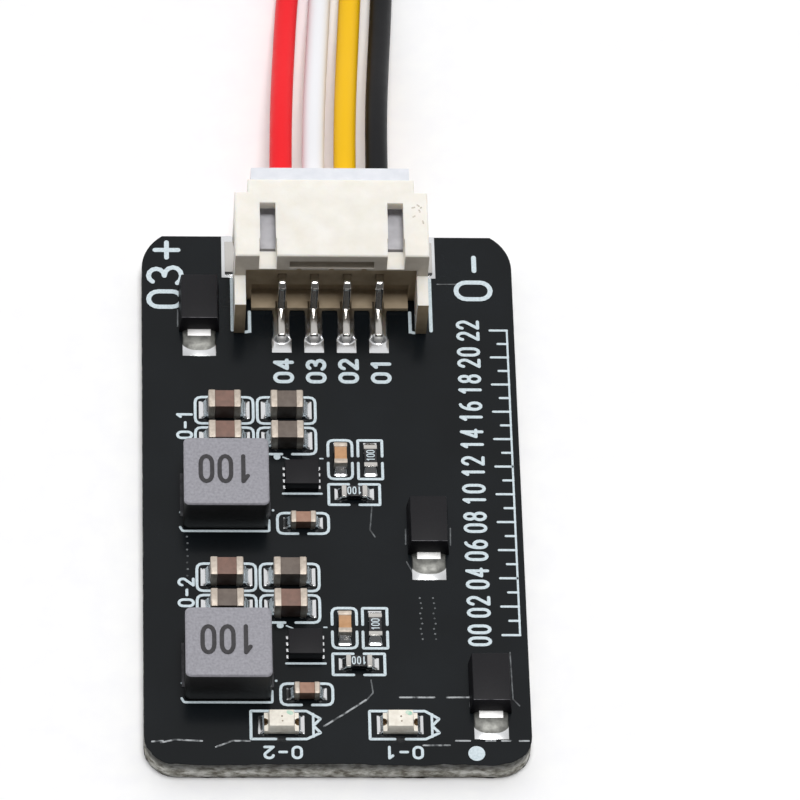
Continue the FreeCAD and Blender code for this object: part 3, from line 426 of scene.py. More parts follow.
# %% The four wires
for number, (colour, route) in enumerate(WIRE_ROUTES.items()):
    radius = first_radius + wire_pitch * number
    turns, last_angle = coil_turns(radius)
    wire = wire_curve(colour + "_wire_finished", [route + turns], wire_diameter, 8)
    finish_piece(wire, [soft_pvc(colour, WIRE_COLOURS[colour])])
    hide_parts(colour + "_wire", colour + "_wire_turns")
    tip = wire_curve(colour + "_wire_strands", twisted_strands(radius, last_angle), strand_diameter, 3)
    finish_piece(tip, [tinned_copper])
    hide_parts(colour + "_wire_tip")
    print(colour, "wire:", len(route), "points by hand and", len(turns), "on its turns")


# %% [markdown]
# ## The circuit board
# The board is FR-4: woven glass in epoxy, pressed into a sheet and cut out with a router. Its
# cut edges show bare laminate, grey and fibrous. Its faces wear a black solder mask, a thin
# film of glossy ink that is chipped along the rim. The core and the two films are pieces of
# their own here, because a film that is its own flat sheet shades evenly up to its border.

# %% Board materials
# Mask ink is poured over the board and levels itself: glossy, with the weave showing faintly
solder_mask, tree, place = start_material("black_solder_mask")
# The real cloth has a bundle of glass every 0.45 mm, too fine to show from here, so it is
# drawn six times coarser. The pitch of a wave texture is pi / 10, divided by its scale
weave_pitch = 2.82743
warp, weft = (
    add_node(tree, "ShaderNodeTexWave", {"Vector": place, "Scale": lumps(weave_pitch) * math.pi / 10},
             wave_type="BANDS", bands_direction=way, wave_profile="SIN")
    for way in ("X", "Y")
)
cloth = add_node(tree, "ShaderNodeMath", {0: warp.outputs["Fac"], 1: weft.outputs["Fac"]},
                 operation="MAXIMUM")
relief = add_node(tree, "ShaderNodeBump", {"Height": cloth, "Distance": 0.0012 * MM})
clouds = add_node(tree, "ShaderNodeTexNoise", {"Vector": place, "Scale": lumps(5), "Detail": 4})
shade = add_node(tree, "ShaderNodeValToRGB", {"Fac": clouds},
                 stops=[(0.3, "#080c0f"), (0.7, "#0e1317")])
gloss = add_node(tree, "ShaderNodeMapRange", {"Value": clouds, "To Min": 0.18, "To Max": 0.28})
finish_material(tree, {
    "Base Color": shade, "Roughness": gloss, "Normal": relief, "Specular IOR Level": 0.2,
})

# A routed edge: torn glass bundles, grey where the resin is smeared and pale where it broke
laminate, tree, place = start_material("routed_glass_laminate")
# Its tone changes with height: dark at the bottom rim, pale low down, then greyer to a dark top rim
height = add_node(tree, "ShaderNodeSeparateXYZ", {"Vector": place}).outputs["Z"]
up = add_node(tree, "ShaderNodeMapRange", {"Value": height, "From Max": board_top * MM})
layers = add_node(tree, "ShaderNodeValToRGB", {"Fac": up}, stops=[
    (0.0, "#5c5b57"), (1.0, "#4c4d4b"), (0.1, "#c4c3bd"), (0.45, "#dcdbd5"), (0.7, "#989894"),
])
# The real tufts of glass are about 0.1 mm, drawn coarser so that they show
long_lumps = add_node(tree, "ShaderNodeMapping", {"Vector": place, "Scale": (1, 1, 1.6)})
torn = add_node(tree, "ShaderNodeTexNoise",
                {"Vector": long_lumps, "Scale": lumps(0.7), "Detail": 6, "Roughness": 0.62})
patches = add_node(tree, "ShaderNodeValToRGB", {"Fac": torn}, stops=[
    (0.38, "#7a756a"), (0.62, "#ffffff"), (0.5, "#c6c5bf"),
])
mixed = add_node(tree, "ShaderNodeMix", {0: 1.0, 6: layers, 7: patches},
                 data_type="RGBA", blend_type="MULTIPLY")
relief = add_node(tree, "ShaderNodeBump", {"Height": torn, "Distance": 0.06 * MM})
finish_material(tree, {"Base Color": mixed.outputs[2], "Roughness": 0.7, "Normal": relief})
print("board materials:", solder_mask.name, "and", laminate.name)


# %% [markdown]
# ## Outline, core and films
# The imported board's faces could only be painted, and its edge would stay as smooth as glass.
# So the outline is drawn once more in arcs, with a point every 0.3 mm, and stacked in rings:
# each ring of the core is drawn in by its own random amounts, as a router leaves the edge.

# %% The board's outline
front_corner, rear_corner, rear_corner_back = 2.0, 2.9, 2.4


def arc(x, y, radius_x, radius_y, start, end, steps=8):
    """Points on an arc about a middle, with its angles in degrees."""
    angles = [math.radians(start + (end - start) * step / steps) for step in range(steps + 1)]
    return [(x + radius_x * math.cos(a), y + radius_y * math.sin(a)) for a in angles]


def board_outline(spacing):
    """The board's outline, anticlockwise, with points at about the spacing."""
    half, low, high = board_high.x, board_low.y, board_high.y
    meets = math.degrees(math.asin(rear_corner_back / rear_corner))
    front, wide = front_corner, rear_corner
    corners = arc(half - front, low + front, front, front, 270, 360)
    corners += arc(half - wide, high - rear_corner_back, wide, wide, 0, meets)
    corners += arc(wide - half, high - rear_corner_back, wide, wide, 180 - meets, 180)
    corners += arc(front - half, low + front, front, front, 180, 270)
    finer = []
    for here, there in zip(corners, corners[1:] + corners[:1]):
        count = max(1, math.ceil(math.dist(here, there) / spacing))
        finer += [Vector(here).lerp(Vector(there), step / count) for step in range(count)]
    return finer


def drawn_in(outline, amounts):
    """The outline with each point moved inwards by its own amount."""
    count = len(outline)
    moved = []
    for number, (spot, amount) in enumerate(zip(outline, amounts)):
        along = (outline[(number + 1) % count] - outline[number - 1]).normalized()
        moved.append(spot + Vector((-along.y, along.x)) * amount)
    return moved


def stacked(rings):
    """A closed solid from rings of points, each a list of spots and its height."""
    pile = Pile()
    count = len(rings[0][0])
    points = [(*spot, height) for spots, height in rings for spot in spots]
    faces = [tuple(range(count))[::-1], tuple(range(len(points) - count, len(points)))]
    for low in range(0, len(points) - count, count):
        for step in range(count):
            after = (step + 1) % count
            faces.append((low + step, low + after, low + count + after, low + count + step))
    pile.add(points, faces)
    return pile


print("the board is", round(board_high.x - board_low.x, 1), "mm wide, with front corners of",
      front_corner, "mm")


# %% Core and films
random.seed(7)
outline = board_outline(0.3)
film, film_edge = 0.03, 0.01
tear, core_setback = 0.05, (0.05, 0.03)


def inset(line, amount):
    """The outline drawn in by the same amount all round."""
    return drawn_in(line, [amount] * len(line))


core_rings = [(inset(outline, core_setback[0]), film)]
for share in (0.08, 0.25, 0.42, 0.58, 0.75, 0.92):
    amounts = [random.uniform(0, tear) for _ in outline]
    core_rings.append((drawn_in(outline, amounts), board_top * share))
core_rings.append((inset(outline, core_setback[1]), board_top - film))
core = new_piece("laminate_core", stacked(core_rings), [laminate], 50)
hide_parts("circuit_board")

# The mask's rim is chipped along the front edge and whole elsewhere
chips, depth = [], 0.05
chip_step, deepest_chip, chipped_band = 0.05, 0.14, 1.2
for spot in outline:
    depth = min(max(depth + random.uniform(-chip_step, chip_step), 0.0), deepest_chip)
    chips.append(depth if spot.y < board_low.y + chipped_band else 0.0)
rim = drawn_in(outline, chips)
for name, low in (("mask_film_top", board_top - film), ("mask_film_under", 0.0)):
    high = low + film
    rings = [(inset(rim, film_edge), low), (rim, low + film_edge)]
    rings += [(rim, high - film_edge), (inset(rim, film_edge), high)]
    new_piece(name, stacked(rings), [solder_mask], 20)
print("board outline has", len(outline), "points")


# %% [markdown]
# ## Moulded plastic
# The header is glass-filled nylon, off-white and almost dull, because the glass keeps its skin
# from flowing quite smooth. The plug is plain nylon, whiter, smoother and a little translucent.
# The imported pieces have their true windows, legs and steps, so they only need rounded edges
# and the right skin. Light hardly reaches under the overhang and into the windows, and a
# darker tone on those faces is steadier than a lamp that would have to miss them.

# %% Plastics
# Glass-filled nylon: light sinks in a little, so its shadows stay warm and soft. Its grit of
# glass is drawn coarser than the real 0.01 mm fibres
cream_nylon, tree, place = start_material("cream_glass_filled_nylon")
mottle = add_node(tree, "ShaderNodeTexNoise", {"Vector": place, "Scale": lumps(1.2), "Detail": 5})
shade = add_node(tree, "ShaderNodeValToRGB", {"Fac": mottle},
                 stops=[(0.3, "#ece7dd"), (0.75, "#f5f1ea")])
grit = add_node(tree, "ShaderNodeTexNoise", {"Vector": place, "Scale": lumps(0.12), "Detail": 3})
relief = add_node(tree, "ShaderNodeBump", {"Height": grit, "Distance": 0.006 * MM})
finish_material(tree, {
    "Base Color": shade, "Roughness": 0.55, "Normal": relief, "Subsurface Weight": 0.3,
    "Subsurface Radius": (1.0, 0.75, 0.5), "Subsurface Scale": 0.8 * MM,
})

# Natural nylon, moulded in a polished tool: cool white, satin, with light inside it
white_nylon = skin("white_natural_nylon", 0.7, 2, [(0.3, "#dadde4"), (0.75, "#e4e6ec")], 0.36, 0.01, {
    "Subsurface Weight": 0.12, "Subsurface Radius": (1.0, 1.0, 1.0),
    "Subsurface Scale": 0.5 * MM,
})
# Painted shade on the same nylon inside the housing, where little light comes: lilac grey
shaded_nylon = skin("white_nylon_painted_housing_shade", 0.7, 2,
                    [(0.3, "#b6b5ba"), (0.75, "#cbcacf")], 0.45)
# Painted shade on the cream nylon under the overhang: deep brown
dull = {"Specular IOR Level": 0.3}
recess_shade_nylon = skin("cream_nylon_painted_recess_shade", 0.8, 4,
                    [(0.3, "#9c8b72"), (0.75, "#b09f86")], 0.6, 0, dull)
# Painted half shade on the cream nylon of the upright front, between the two
half_shade_nylon = skin("cream_nylon_painted_half_shade", 0.8, 4,
                   [(0.3, "#bdb4a7"), (0.75, "#c8c0b4")], 0.6, 0, dull)
print("plastics:", cream_nylon.name, "and", white_nylon.name)


# %% Header and plug
header_low, header_high = box_mm("header_housing")
header_middle = middle_mm("header_housing").x
front_y, overhang_foot = 13.92, 4.6
sill_front, sill_top, sill_half = 13.3, 1.95, 5.0
recess_rear, recess_half, recess_top = 15.4, 5.2, 5.2
grip_rear, grip_half, grip_foot, grip_top = 14.5, 2.7, 5.3, 6.3


def front_band(spot, way):
    """The housing's upright front."""
    return way.y < -0.9 and sill_front < spot.y < front_y and spot.z > overhang_foot


def sill(spot, way):
    """The low bar between the legs."""
    return (sill_front < spot.y < front_y and spot.z < sill_top
            and abs(spot.x - header_middle) < sill_half)


def recess(spot, way):
    """The hollow under the overhang, with the wall behind the pins."""
    under = spot.z < overhang_foot and abs(spot.x - header_middle) < recess_half
    wall = way.y < -0.9 and spot.z < recess_top
    return front_y < spot.y < recess_rear and (under or wall)


def grip(spot, way):
    """The shallow recess in the front band."""
    return (front_y < spot.y < grip_rear and grip_foot < spot.z < grip_top
            and abs(spot.x - header_middle) < grip_half)


def leg_front(spot, way):
    """The front faces of the two legs."""
    return way.y < -0.7 and spot.y < header_low.y + 0.05


# Painted shade where little light reaches: deep on the sill, recess and legs, half on the front
header = soft_copy("header_housing", 0.06, [cream_nylon, recess_shade_nylon, half_shade_nylon])
paint_faces(header, 2, front_band)
paint_faces(header, 1, sill)
cut_across(header, front_y)
for number, chosen in ((1, recess), (2, grip), (1, leg_front)):
    paint_faces(header, number, chosen)
# The plug's faces inside the housing get the painted shade
plug = soft_copy("plug_housing", 0.08, [white_nylon, shaded_nylon])
inside_y = header_high.y - 0.1
cut_across(plug, inside_y)
paint_faces(plug, 1, lambda spot, way: spot.y < inside_y)
print("header and plug have", len(header.data.polygons) + len(plug.data.polygons), "faces")


# %% [markdown]
# ## Tin
# Pins, straps and leads are brass or copper under tin. Tin plated bright is a mirror, and tin
# plated dull scatters light like paper, so one lamp gives a pin streaks and a lead an even
# white. The crystals that blur them are a few thousandths of a millimetre across, and are
# drawn far coarser here so that they show at all.

# %% Metals
# Tin plated bright: mirrors the room, blurred by the fine crystals of the plating
bright_tin = skin("bright_tin_plate", 0.15, 3, "#c9c6c2", (0.09, 0.16), 0.0015, METAL)
# Tin plated dull on the diodes' leads: it scatters the light from above and stays white
matte_tin = skin("matte_tin_plate", 0.1, 3, "#e4e3e2", (0.4, 0.55), 0, METAL)
# Solder that froze from the melt: brighter than plating, with slow waves
solder = skin("tin_solder", 0.8, 2, "#dddee0", (0.14, 0.24), 0.006, METAL)
# Thick pools of solder cool last: their skin is grained and dull
dull_solder = skin("dull_tin_solder", 0.3, 3, [(0.35, "#62625f"), (0.65, "#7b7b77")],
                   0.48, 0.008, METAL)
# Straps that sit close under a black brick mirror it, so their tin is drawn dark: a painted reflection
# of the brick
brick_reflection_tin = skin("tin_plate_painted_brick_reflection", 0.3, 3, [(0.35, "#1e1e20"), (0.7, "#3c3c3f")],
                0.35, 0, {"Metallic": 0.7})

CHANNELS, PINS, SIDES = (1, 2), (1, 2, 3, 4), ("left", "right")
DIODES = ("rear", "middle", "front")
PIN_PARTS = (("header_pin", 0.08), ("crimp_contact", 0.04))
TINNED = [("%s_%d" % (kind, number), edge, bright_tin) for number in PINS for kind, edge in PIN_PARTS]
TINNED += [("hold_down_tab_" + side, 0.03, bright_tin) for side in SIDES]
TINNED += [("inductor_straps_%d" % channel, 0.03, brick_reflection_tin) for channel in CHANNELS]
TINNED += [("diode_%s_leads" % corner, 0.03, matte_tin) for corner in DIODES]
for name, edge, metal in TINNED:
    soft_copy(name, edge, [metal])
pads_piece = soft_copy("tinned_pads", 0.02, [solder, solder_mask, brick_reflection_tin], segments=2)
print(len(TINNED), "tinned pieces")


# %% [markdown]
# ## Solder
# Solder is melted tin: it climbs the metal ends in a hollow curve and spreads over the pad,
# and that curve makes it flash white at its foot and go dark on its slope. A painted patch
# can't do that, so each joint is a real surface: a small grid of points whose height falls
# away from the wall that the solder climbs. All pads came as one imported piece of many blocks,
# so the first cell walks from point to point to find where each block begins and ends.

# %% Pads
def packed_pads():
    """The box of each packed pad in millimetres: left, front, right and rear."""
    work = bmesh.new()
    work.from_mesh(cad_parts["tinned_pads"].data)
    bmesh.ops.remove_doubles(work, verts=work.verts, dist=0.0005 * MM)
    boxes, seen = [], set()
    for vert in work.verts:
        if vert in seen:
            continue
        group, waiting = [], [vert]
        seen.add(vert)
        while waiting:
            here = waiting.pop()
            group.append(here.co / MM)
            for rim in here.link_edges:
                there = rim.other_vert(here)
                if there not in seen:
                    seen.add(there)
                    waiting.append(there)
        columns, rows = [spot.x for spot in group], [spot.y for spot in group]
        boxes.append((min(columns), min(rows), max(columns), max(rows)))
    work.free()
    return boxes


def pads_under(name, margin=0.02):
    """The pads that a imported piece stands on."""
    low, high = box_mm(name)
    return [pad for pad in pads if pad[0] < high.x + margin and pad[2] > low.x - margin
            and pad[1] < high.y + margin and pad[3] > low.y - margin]


pads = packed_pads()
pad_top = box_mm("tinned_pads")[1].z
print(len(pads), "pads, the widest", round(max(pad[2] - pad[0] for pad in pads), 2), "mm")


# %% Shape of a solder joint
joints, pools = Pile(), Pile()


def hollow(share):
    """Solder that wets steeply and runs out thin."""
    return (1 - share) ** 1.7


def full(share):
    """A generous joint: a slope first, then steep at its rim."""
    return 0.65 * (1 - share) + 0.35 * (1 - share ** 5)


def pool(share):
    """A pool of solder in front of a wide lead: round all the way to its rim."""
    return 1 - share ** 2.5


def solder_joint(pile, pad, start, end, radius, reach, climb, profile,
                 crown=0.035, spacing=0.08):
    """Solder on a pad, as a grid of heights that climbs towards the line it wets.

    The crown is how far it stands above the pad elsewhere. A crown below nought leaves the
    pad bare there, so that the joint keeps a round border.
    """
    left, front, right, rear = pad
    start, end = Vector(start), Vector(end)
    axis = end - start
    columns = max(6, round((right - left) / spacing))
    rows = max(6, round((rear - front) / spacing))
    top = []
    for row in range(rows + 1):
        for column in range(columns + 1):
            u, v = 2 * column / columns - 1, 2 * row / rows - 1
            spot = Vector(((left + right + u * (right - left)) / 2,
                           (front + rear + v * (rear - front)) / 2))
            share = (spot - start).dot(axis) / max(axis.length_squared, 0.000001)
            nearest = start + axis * min(max(share, 0), 1)
            away = min(max((spot - nearest).length - radius, 0) / reach, 1)
            rise = crown * (1 - u ** 8) * (1 - v ** 8) + climb * profile(away)
            border = row in (0, rows) or column in (0, columns)
            top.append((*spot, pad_top + (min(crown, 0.003) if border else rise)))
    wide = columns + 1
    border = list(range(columns)) + [wide * row + columns for row in range(rows)]
    border += [wide * rows + column for column in range(columns, 0, -1)]
    border += [wide * row for row in range(rows, 0, -1)]
    foot = [(*top[spot][:2], pad_top - 0.02) for spot in border]
    faces = [(wide * r + c, wide * r + c + 1, wide * (r + 1) + c + 1, wide * (r + 1) + c)
             for r in range(rows) for c in range(columns)]
    first, count = len(top), len(border)
    faces += [(border[n], border[(n + 1) % count], first + (n + 1) % count, first + n)
              for n in range(count)]
    faces.append(tuple(range(first, first + count)))
    pile.add(top + foot, faces)


def solder_part(name, reach, climb):
    """A hollow joint at each end of a packed chip part."""
    low, high = box_mm(name)
    for pad in pads_under(name):
        if high.x - low.x > high.y - low.y:
            x = low.x if pad[0] < low.x else high.x
            start, end = (x, low.y + 0.08), (x, high.y - 0.08)
        else:
            y = low.y if pad[1] < low.y else high.y
            start, end = (low.x + 0.08, y), (high.x - 0.08, y)
        solder_joint(joints, pad, start, end, 0.02, reach, climb, hollow)


print("solder starts", round(pad_top - board_top, 3), "mm above the mask")


# %% Solder on every pad
def chip_parts(kind, channel):
    """The names of a channel's chip parts of one kind: four storage capacitors, or one part."""
    if kind != "storage_capacitor":
        return ["%s_%d" % (kind, channel)]
    places = [(row, column) for row in ("rear", "front") for column in (1, 2)]
    return ["%s_%d_%s_%d" % (kind, channel, row, column) for row, column in places]


# How far the solder reaches from each kind of part, and how high it climbs
SOLDERED = {
    "storage_capacitor": (0.38, 0.6), "tuning_capacitor": (0.3, 0.4),
    "input_capacitor": (0.3, 0.4), "tuning_resistor": (0.3, 0.28), "bridge_resistor": (0.3, 0.28),
}
for channel in CHANNELS:
    for kind, (reach, climb) in SOLDERED.items():
        for name in chip_parts(kind, channel):
            solder_part(name, reach, climb)
for side in SIDES:
    solder_part("indicator_lamp_" + side, 0.2, 0.24)

for corner in DIODES:
    low, high = box_mm("diode_%s_leads" % corner)
    for pad in pads_under("diode_%s_leads" % corner):
        if pad[1] < low.y:
            start, end = (low.x + 0.5, low.y + 0.05), (high.x - 0.5, low.y + 0.05)
            solder_joint(pools, pad, start, end, 0.02, 0.98, 0.2, pool, -0.012, 0.05)
for number in PINS:
    low, high = box_mm("header_pin_%d" % number)
    middle = (low.x + high.x) / 2
    for pad in pads_under("header_pin_%d" % number):
        solder_joint(joints, pad, (middle, low.y + 0.28), (middle, pad[3]), 0.2, 0.38, 0.36, full)
joints_piece = new_piece("solder_joints", joints, [solder, matte_tin], 60)
new_piece("diode_solder_pools", pools, [dull_solder], 60)
print("solder joints have", len(joints.faces), "faces")


# %% Tones on solder and pads
# A blob of solder stands round each header pin's toe and scatters the light from above
blob_half_width, blob_length = 0.27, 0.36
toes = [(middle_mm("header_pin_%d" % number).x, box_mm("header_pin_%d" % number)[0].y)
        for number in PINS]
paint_faces(joints_piece, 1, lambda spot, way: any(
    math.hypot((spot.x - x) / blob_half_width, (spot.y - y) / blob_length) < 1 for x, y in toes))

# No bright metal shows behind the diodes nor at the inductors, so the pads behind the diodes are
# drawn in mask ink, and those at the inductors in the dark tin, a painted reflection of the black
# brick. A zone is a material's number, then left, right, front and rear
zones = []
for corner in DIODES:
    low, high = box_mm("diode_" + corner)
    zones.append((1, low.x, high.x, high.y - 0.3, high.y + 1.2))
for channel in CHANNELS:
    low, high = box_mm("inductor_straps_%d" % channel)
    zones.append((2, low.x - 0.5, high.x + 0.5, low.y - 0.5, high.y + 0.5))
for number, left, right, front, rear in zones:
    paint_faces(pads_piece, number,
                lambda spot, way: left < spot.x < right and front < spot.y < rear)
toned = sum(face.material_index > 0 for face in pads_piece.data.polygons)
print(toned, "faces of the pads have a tone of their own")


# %% [markdown]
# ## Power inductors
# Iron powder is pressed round the coil into a square brick. Its sides stay black and grainy,
# and its top is sprayed grey so that a number can be stamped on it. One copy of the packed
# brick carries both: the faces near its top get the grey, which needs no second thin piece.

# %% Inductors
# Pressed iron powder in resin: black, dull, and pitted by its grains
pressed_iron = skin("pressed_iron_powder", 0.08, 4, [(0.3, "#0c0c0d"), (0.75, "#161617")],
                    0.5, 0.012)
# Sprayed coat: even grey, with the grain of the powder just showing through
grey_coat = skin("sprayed_grey_coat", 0.16, 5, [(0.3, "#88878e"), (0.72, "#9f9ea6")], 0.5, 0.008)

bricks, coat_depth = {}, 0.12
for channel in CHANNELS:
    name = "power_inductor_%d" % channel
    bricks[channel] = box_mm(name)
    coated = bricks[channel][1].z - coat_depth
    brick = soft_copy(name, 0.05, [pressed_iron, grey_coat])
    paint_faces(brick, 1, lambda spot, way: spot.z > coated)
print("inductors stand", round(bricks[1][1].z - board_top, 2), "mm above the board")


# %% [markdown]
# ## Chip parts
# Capacitors are fired blocks of many thin layers, brown or grey-brown after the clay, with
# ends dipped in metal and tinned. Resistors are white plates under black glaze. The packed
# blocks have their proud ends, so the faces near each end only need another material. The
# parts stand so close together that little light reaches their sides: those are toned down
# by the direction in which a face looks.

# %% Ceramic and end metal
def painted_side_shade(tree, shade, least):
    """The colour, darkened as painted shade on faces that don't look up, to this share at the least."""
    normal = add_node(tree, "ShaderNodeNewGeometry", {}).outputs["Normal"]
    upright = add_node(tree, "ShaderNodeSeparateXYZ", {"Vector": normal}).outputs["Z"]
    share = add_node(tree, "ShaderNodeMapRange", {
        "Value": upright, "From Max": 0.8, "To Min": least})
    tone = add_node(tree, "ShaderNodeMix", {0: 1.0, 6: shade, 7: share},
                    data_type="RGBA", blend_type="MULTIPLY")
    return tone.outputs[2]


def fired_ceramic(name, dark, light):
    """Fired clay of one batch: faint clouds, and painted shade that darkens its sides against its top.
    """
    material, tree, place = start_material(name)
    clouds = add_node(tree, "ShaderNodeTexNoise", {"Vector": place, "Scale": lumps(0.3), "Detail": 4})
    shade = add_node(tree, "ShaderNodeValToRGB", {"Fac": clouds}, stops=[(0.3, dark), (0.7, light)])
    relief = add_node(tree, "ShaderNodeBump", {"Height": clouds, "Distance": 0.006 * MM})
    finish_material(tree, {
        "Base Color": painted_side_shade(tree, shade, 0.3), "Roughness": 0.45, "Normal": relief,
        "Specular IOR Level": 0.3,
    })
    return material


red_ceramic = fired_ceramic("red_brown_ceramic", "#7a6056", "#88695e")
grey_ceramic = fired_ceramic("grey_brown_ceramic", "#685d56", "#756a62")
tan_ceramic = fired_ceramic("tan_ceramic", "#b78a62", "#c79a72")
dark_tan_ceramic = fired_ceramic("dark_tan_ceramic", "#9c7765", "#ab8673")

# Dipped ends: silver paste fired on, then tinned, warm and soft at the rounded edges, with painted shade
# on their sides
dipped_ends, tree, place = start_material("dipped_tinned_ends")
paste = add_node(tree, "ShaderNodeTexNoise", {"Vector": place, "Scale": lumps(0.25), "Detail": 3})
shade = add_node(tree, "ShaderNodeValToRGB", {"Fac": paste},
                 stops=[(0.3, "#b3a79a"), (0.75, "#cfc4b8")])
relief = add_node(tree, "ShaderNodeBump", {"Height": paste, "Distance": 0.015 * MM})
shine = add_node(tree, "ShaderNodeMapRange", {"Value": paste, "To Min": 0.3, "To Max": 0.5})
finish_material(tree, {
    "Base Color": painted_side_shade(tree, shade, 0.6), "Metallic": 0.5, "Roughness": shine,
    "Normal": relief,
})

# Black overglaze of a resistor, fired glass: glossy and slightly uneven
resistor_glaze = skin("black_resistor_glaze", 0.4, 2, [(0.3, "#17161a"), (0.75, "#222125")],
                      0.25, 0.01)
print("ceramics: red brown, grey brown, tan and dark tan")


# %% Capacitors and resistors
def dress_chip_part(name, body_material, end_length):
    """A chip part whose two ends, along its longer side, wear metal."""
    end_metal = bright_tin if "resistor" in name else dipped_ends
    piece = soft_copy(name, 0.035, [body_material, end_metal])
    low, high = box_mm(name)
    along = 0 if high.x - low.x > high.y - low.y else 1
    inner = (high[along] - low[along]) / 2 - end_length - 0.001
    middle = (low[along] + high[along]) / 2
    paint_faces(piece, 1, lambda spot, way: abs(spot[along] - middle) > inner)


# The body, the length of its metal ends and the slot of each kind
CHIP_PARTS = {
    "storage_capacitor": (grey_ceramic, 0.42, "capacitor_ceramic"),
    "tuning_capacitor": (tan_ceramic, 0.4, "capacitor_ceramic"),
    "input_capacitor": (dark_tan_ceramic, 0.33, "capacitor_ceramic"),
    "tuning_resistor": (resistor_glaze, 0.28, "resistor_ceramic"),
    "bridge_resistor": (resistor_glaze, 0.28, "resistor_ceramic"),
}
# Capacitors from another batch are redder
REDDISH = ("1_rear_1", "1_front_1", "2_rear_1", "2_front_2")
for channel in CHANNELS:
    for kind, (body, end_length, slot) in CHIP_PARTS.items():
        for name in chip_parts(kind, channel):
            dress_chip_part(name, red_ceramic if name.endswith(REDDISH) else body, end_length)
print("reddish capacitors:", ", ".join(REDDISH))


# %% [markdown]
# ## Black moulded epoxy
# The balancer chips and the diodes are moulded in epoxy full of glass dust. The mould was
# spark-eroded, so the skin is a fine even matte that turns grey where light grazes an edge.
# Its pits are about 0.02 mm wide, drawn some three times coarser so that they show.

# %% Chips and diodes
moulded_epoxy = skin("moulded_black_epoxy", 0.07, 3, [(0.3, "#121115"), (0.75, "#18171b")],
                     0.5, 0.008, {"Specular IOR Level": 0.2})
# The rounded front top edge is painted grey: a painted highlight where light grazes it
epoxy_edge_highlight = skin("epoxy_edge_painted_highlight", 0.5, 3, [(0.35, "#3e3d42"), (0.6, "#8b8a8f")], 0.4)
for channel in CHANNELS:
    soft_copy("balancer_chip_%d" % channel, 0.04, [moulded_epoxy])
# Each diode's front top edge gets the painted highlight
for corner in DIODES:
    diode = soft_copy("diode_" + corner, 0.05, [moulded_epoxy, epoxy_edge_highlight])
    paint_faces(diode, 1, lambda spot, way: way.y < -0.4 and 0.4 < way.z < 0.9)
print("diodes stand", round(box_mm("diode_front")[1].z - board_top, 2), "mm above the board")


# %% [markdown]
# ## Indicator lamps
# Each lamp is a chip glued to a tiny board and covered by a block of clear resin. From above
# the resin shows the cream board, two dark specks of the chip and its wire, and a green tint
# at one corner. The notches at both ends are plated, so that solder can climb them. The
# specks are too small to see more than their colour, so clear resin that bends light isn't
# needed: the resin is drawn opaque under a thin coat, and the specks are laid on it later.

# %% Lamps
lamp_resin = skin("clear_resin_over_cream", 0.35, 3, [(0.3, "#e3dccf"), (0.7, "#f8f3e7")],
                  0.28, 0.02, {"Coat Weight": 0.3, "Coat Roughness": 0.12})
# The plated notches: thin gold over copper, brown where the solder flux stayed
notch_gold = skin("gold_plated_notch", 0.15, 3, [(0.35, "#5f4630"), (0.7, "#b99a6a")],
                  0.4, 0, {"Metallic": 0.6})
notch_height, notch_depth, notch_half = 0.36, 0.27, 0.27
lamp_middles = {side: middle_mm("indicator_lamp_" + side) for side in SIDES}
for side, middle in lamp_middles.items():
    low, high = box_mm("indicator_lamp_" + side)
    lamp = soft_copy("indicator_lamp_" + side, 0.03, [lamp_resin, notch_gold])
    foot, ends = low.z + notch_height, (high.x - low.x) / 2 - notch_depth
    paint_faces(lamp, 1, lambda spot, way: spot.z < foot and abs(spot.x - middle.x) > ends
                and abs(spot.y - middle.y) < notch_half)
print("lamps stand", round(high.z - board_top, 2), "mm above the board")


# %% [markdown]
# ## Strokes of ink
# The legend is epoxy ink, screened on and baked: a little proud of the mask, slightly blue,
# with soft round ends. Every printed line, number and mark is one kind of thing: a stroke, a
# thin closed bar that follows a line with mitred corners. A picture laid on the board would
# be quicker, but a bar keeps its edge at any distance and catches light as real ink does.

# %% Strokes and marks
ink_height, ink_line = 0.03, 0.17


def add_stroke(pile, line, width, level=board_top, height=ink_height):
    """A thin closed bar along a line, on a level. A line that meets itself is a ring."""
    line = [Vector(spot) for spot in line]
    ring = (line[0] - line[-1]).length < 0.001
    half = width / 2
    ways = [(there - here).normalized() for here, there in zip(line, line[1:])]
    if ring:
        line.pop()
    stations = []
    for index, spot in enumerate(line):
        before = ways[index - 1] if index or ring else ways[0]
        after = ways[min(index, len(ways) - 1)]
        middle = (before + after).normalized()
        mitre = half / max(middle.dot(after), 0.5)
        stations.append((spot, Vector((-middle.y, middle.x)) * mitre))
    round_ends = [] if ring else [(0, -ways[0]), (-1, ways[-1])]
    for end, way in round_ends:
        spot, aside = stations[end]
        for degrees in (30, 58, 82):
            turn = math.radians(degrees)
            cap = (spot + way * half * math.sin(turn), aside * math.cos(turn))
            stations.insert(0 if end == 0 else len(stations), cap)
    low = level - 0.005
    # Strokes that cross end at slightly different heights, so that no two faces coincide
    high = level + height + 0.0013 * (pile.strokes % 7)
    pile.strokes += 1
    points = []
    for spot, aside in stations:
        left, right = spot + aside, spot - aside
        points += [(*left, low), (*right, low), (*right, high), (*left, high)]
    faces = [] if ring else [(0, 1, 2, 3), tuple(len(points) - item for item in (1, 2, 3, 4))]
    for base in range(0, len(points) if ring else len(points) - 4, 4):
        there = (base + 4) % len(points)
        for side in range(4):
            after = (side + 1) % 4
            faces.append((base + side, there + side, there + after, base + after))
    pile.add(points, faces)


def add_dot(pile, x, y, diameter, level=board_top, height=ink_height):
    """A round printed dot, as a short closed disc."""
    rim = [Vector(spot) for spot in arc(x, y, diameter / 2, diameter / 2, 0, 348.75, 31)]
    disc = stacked([(rim, level - 0.005), (rim, level + height)])
    pile.add(disc.points, disc.faces)


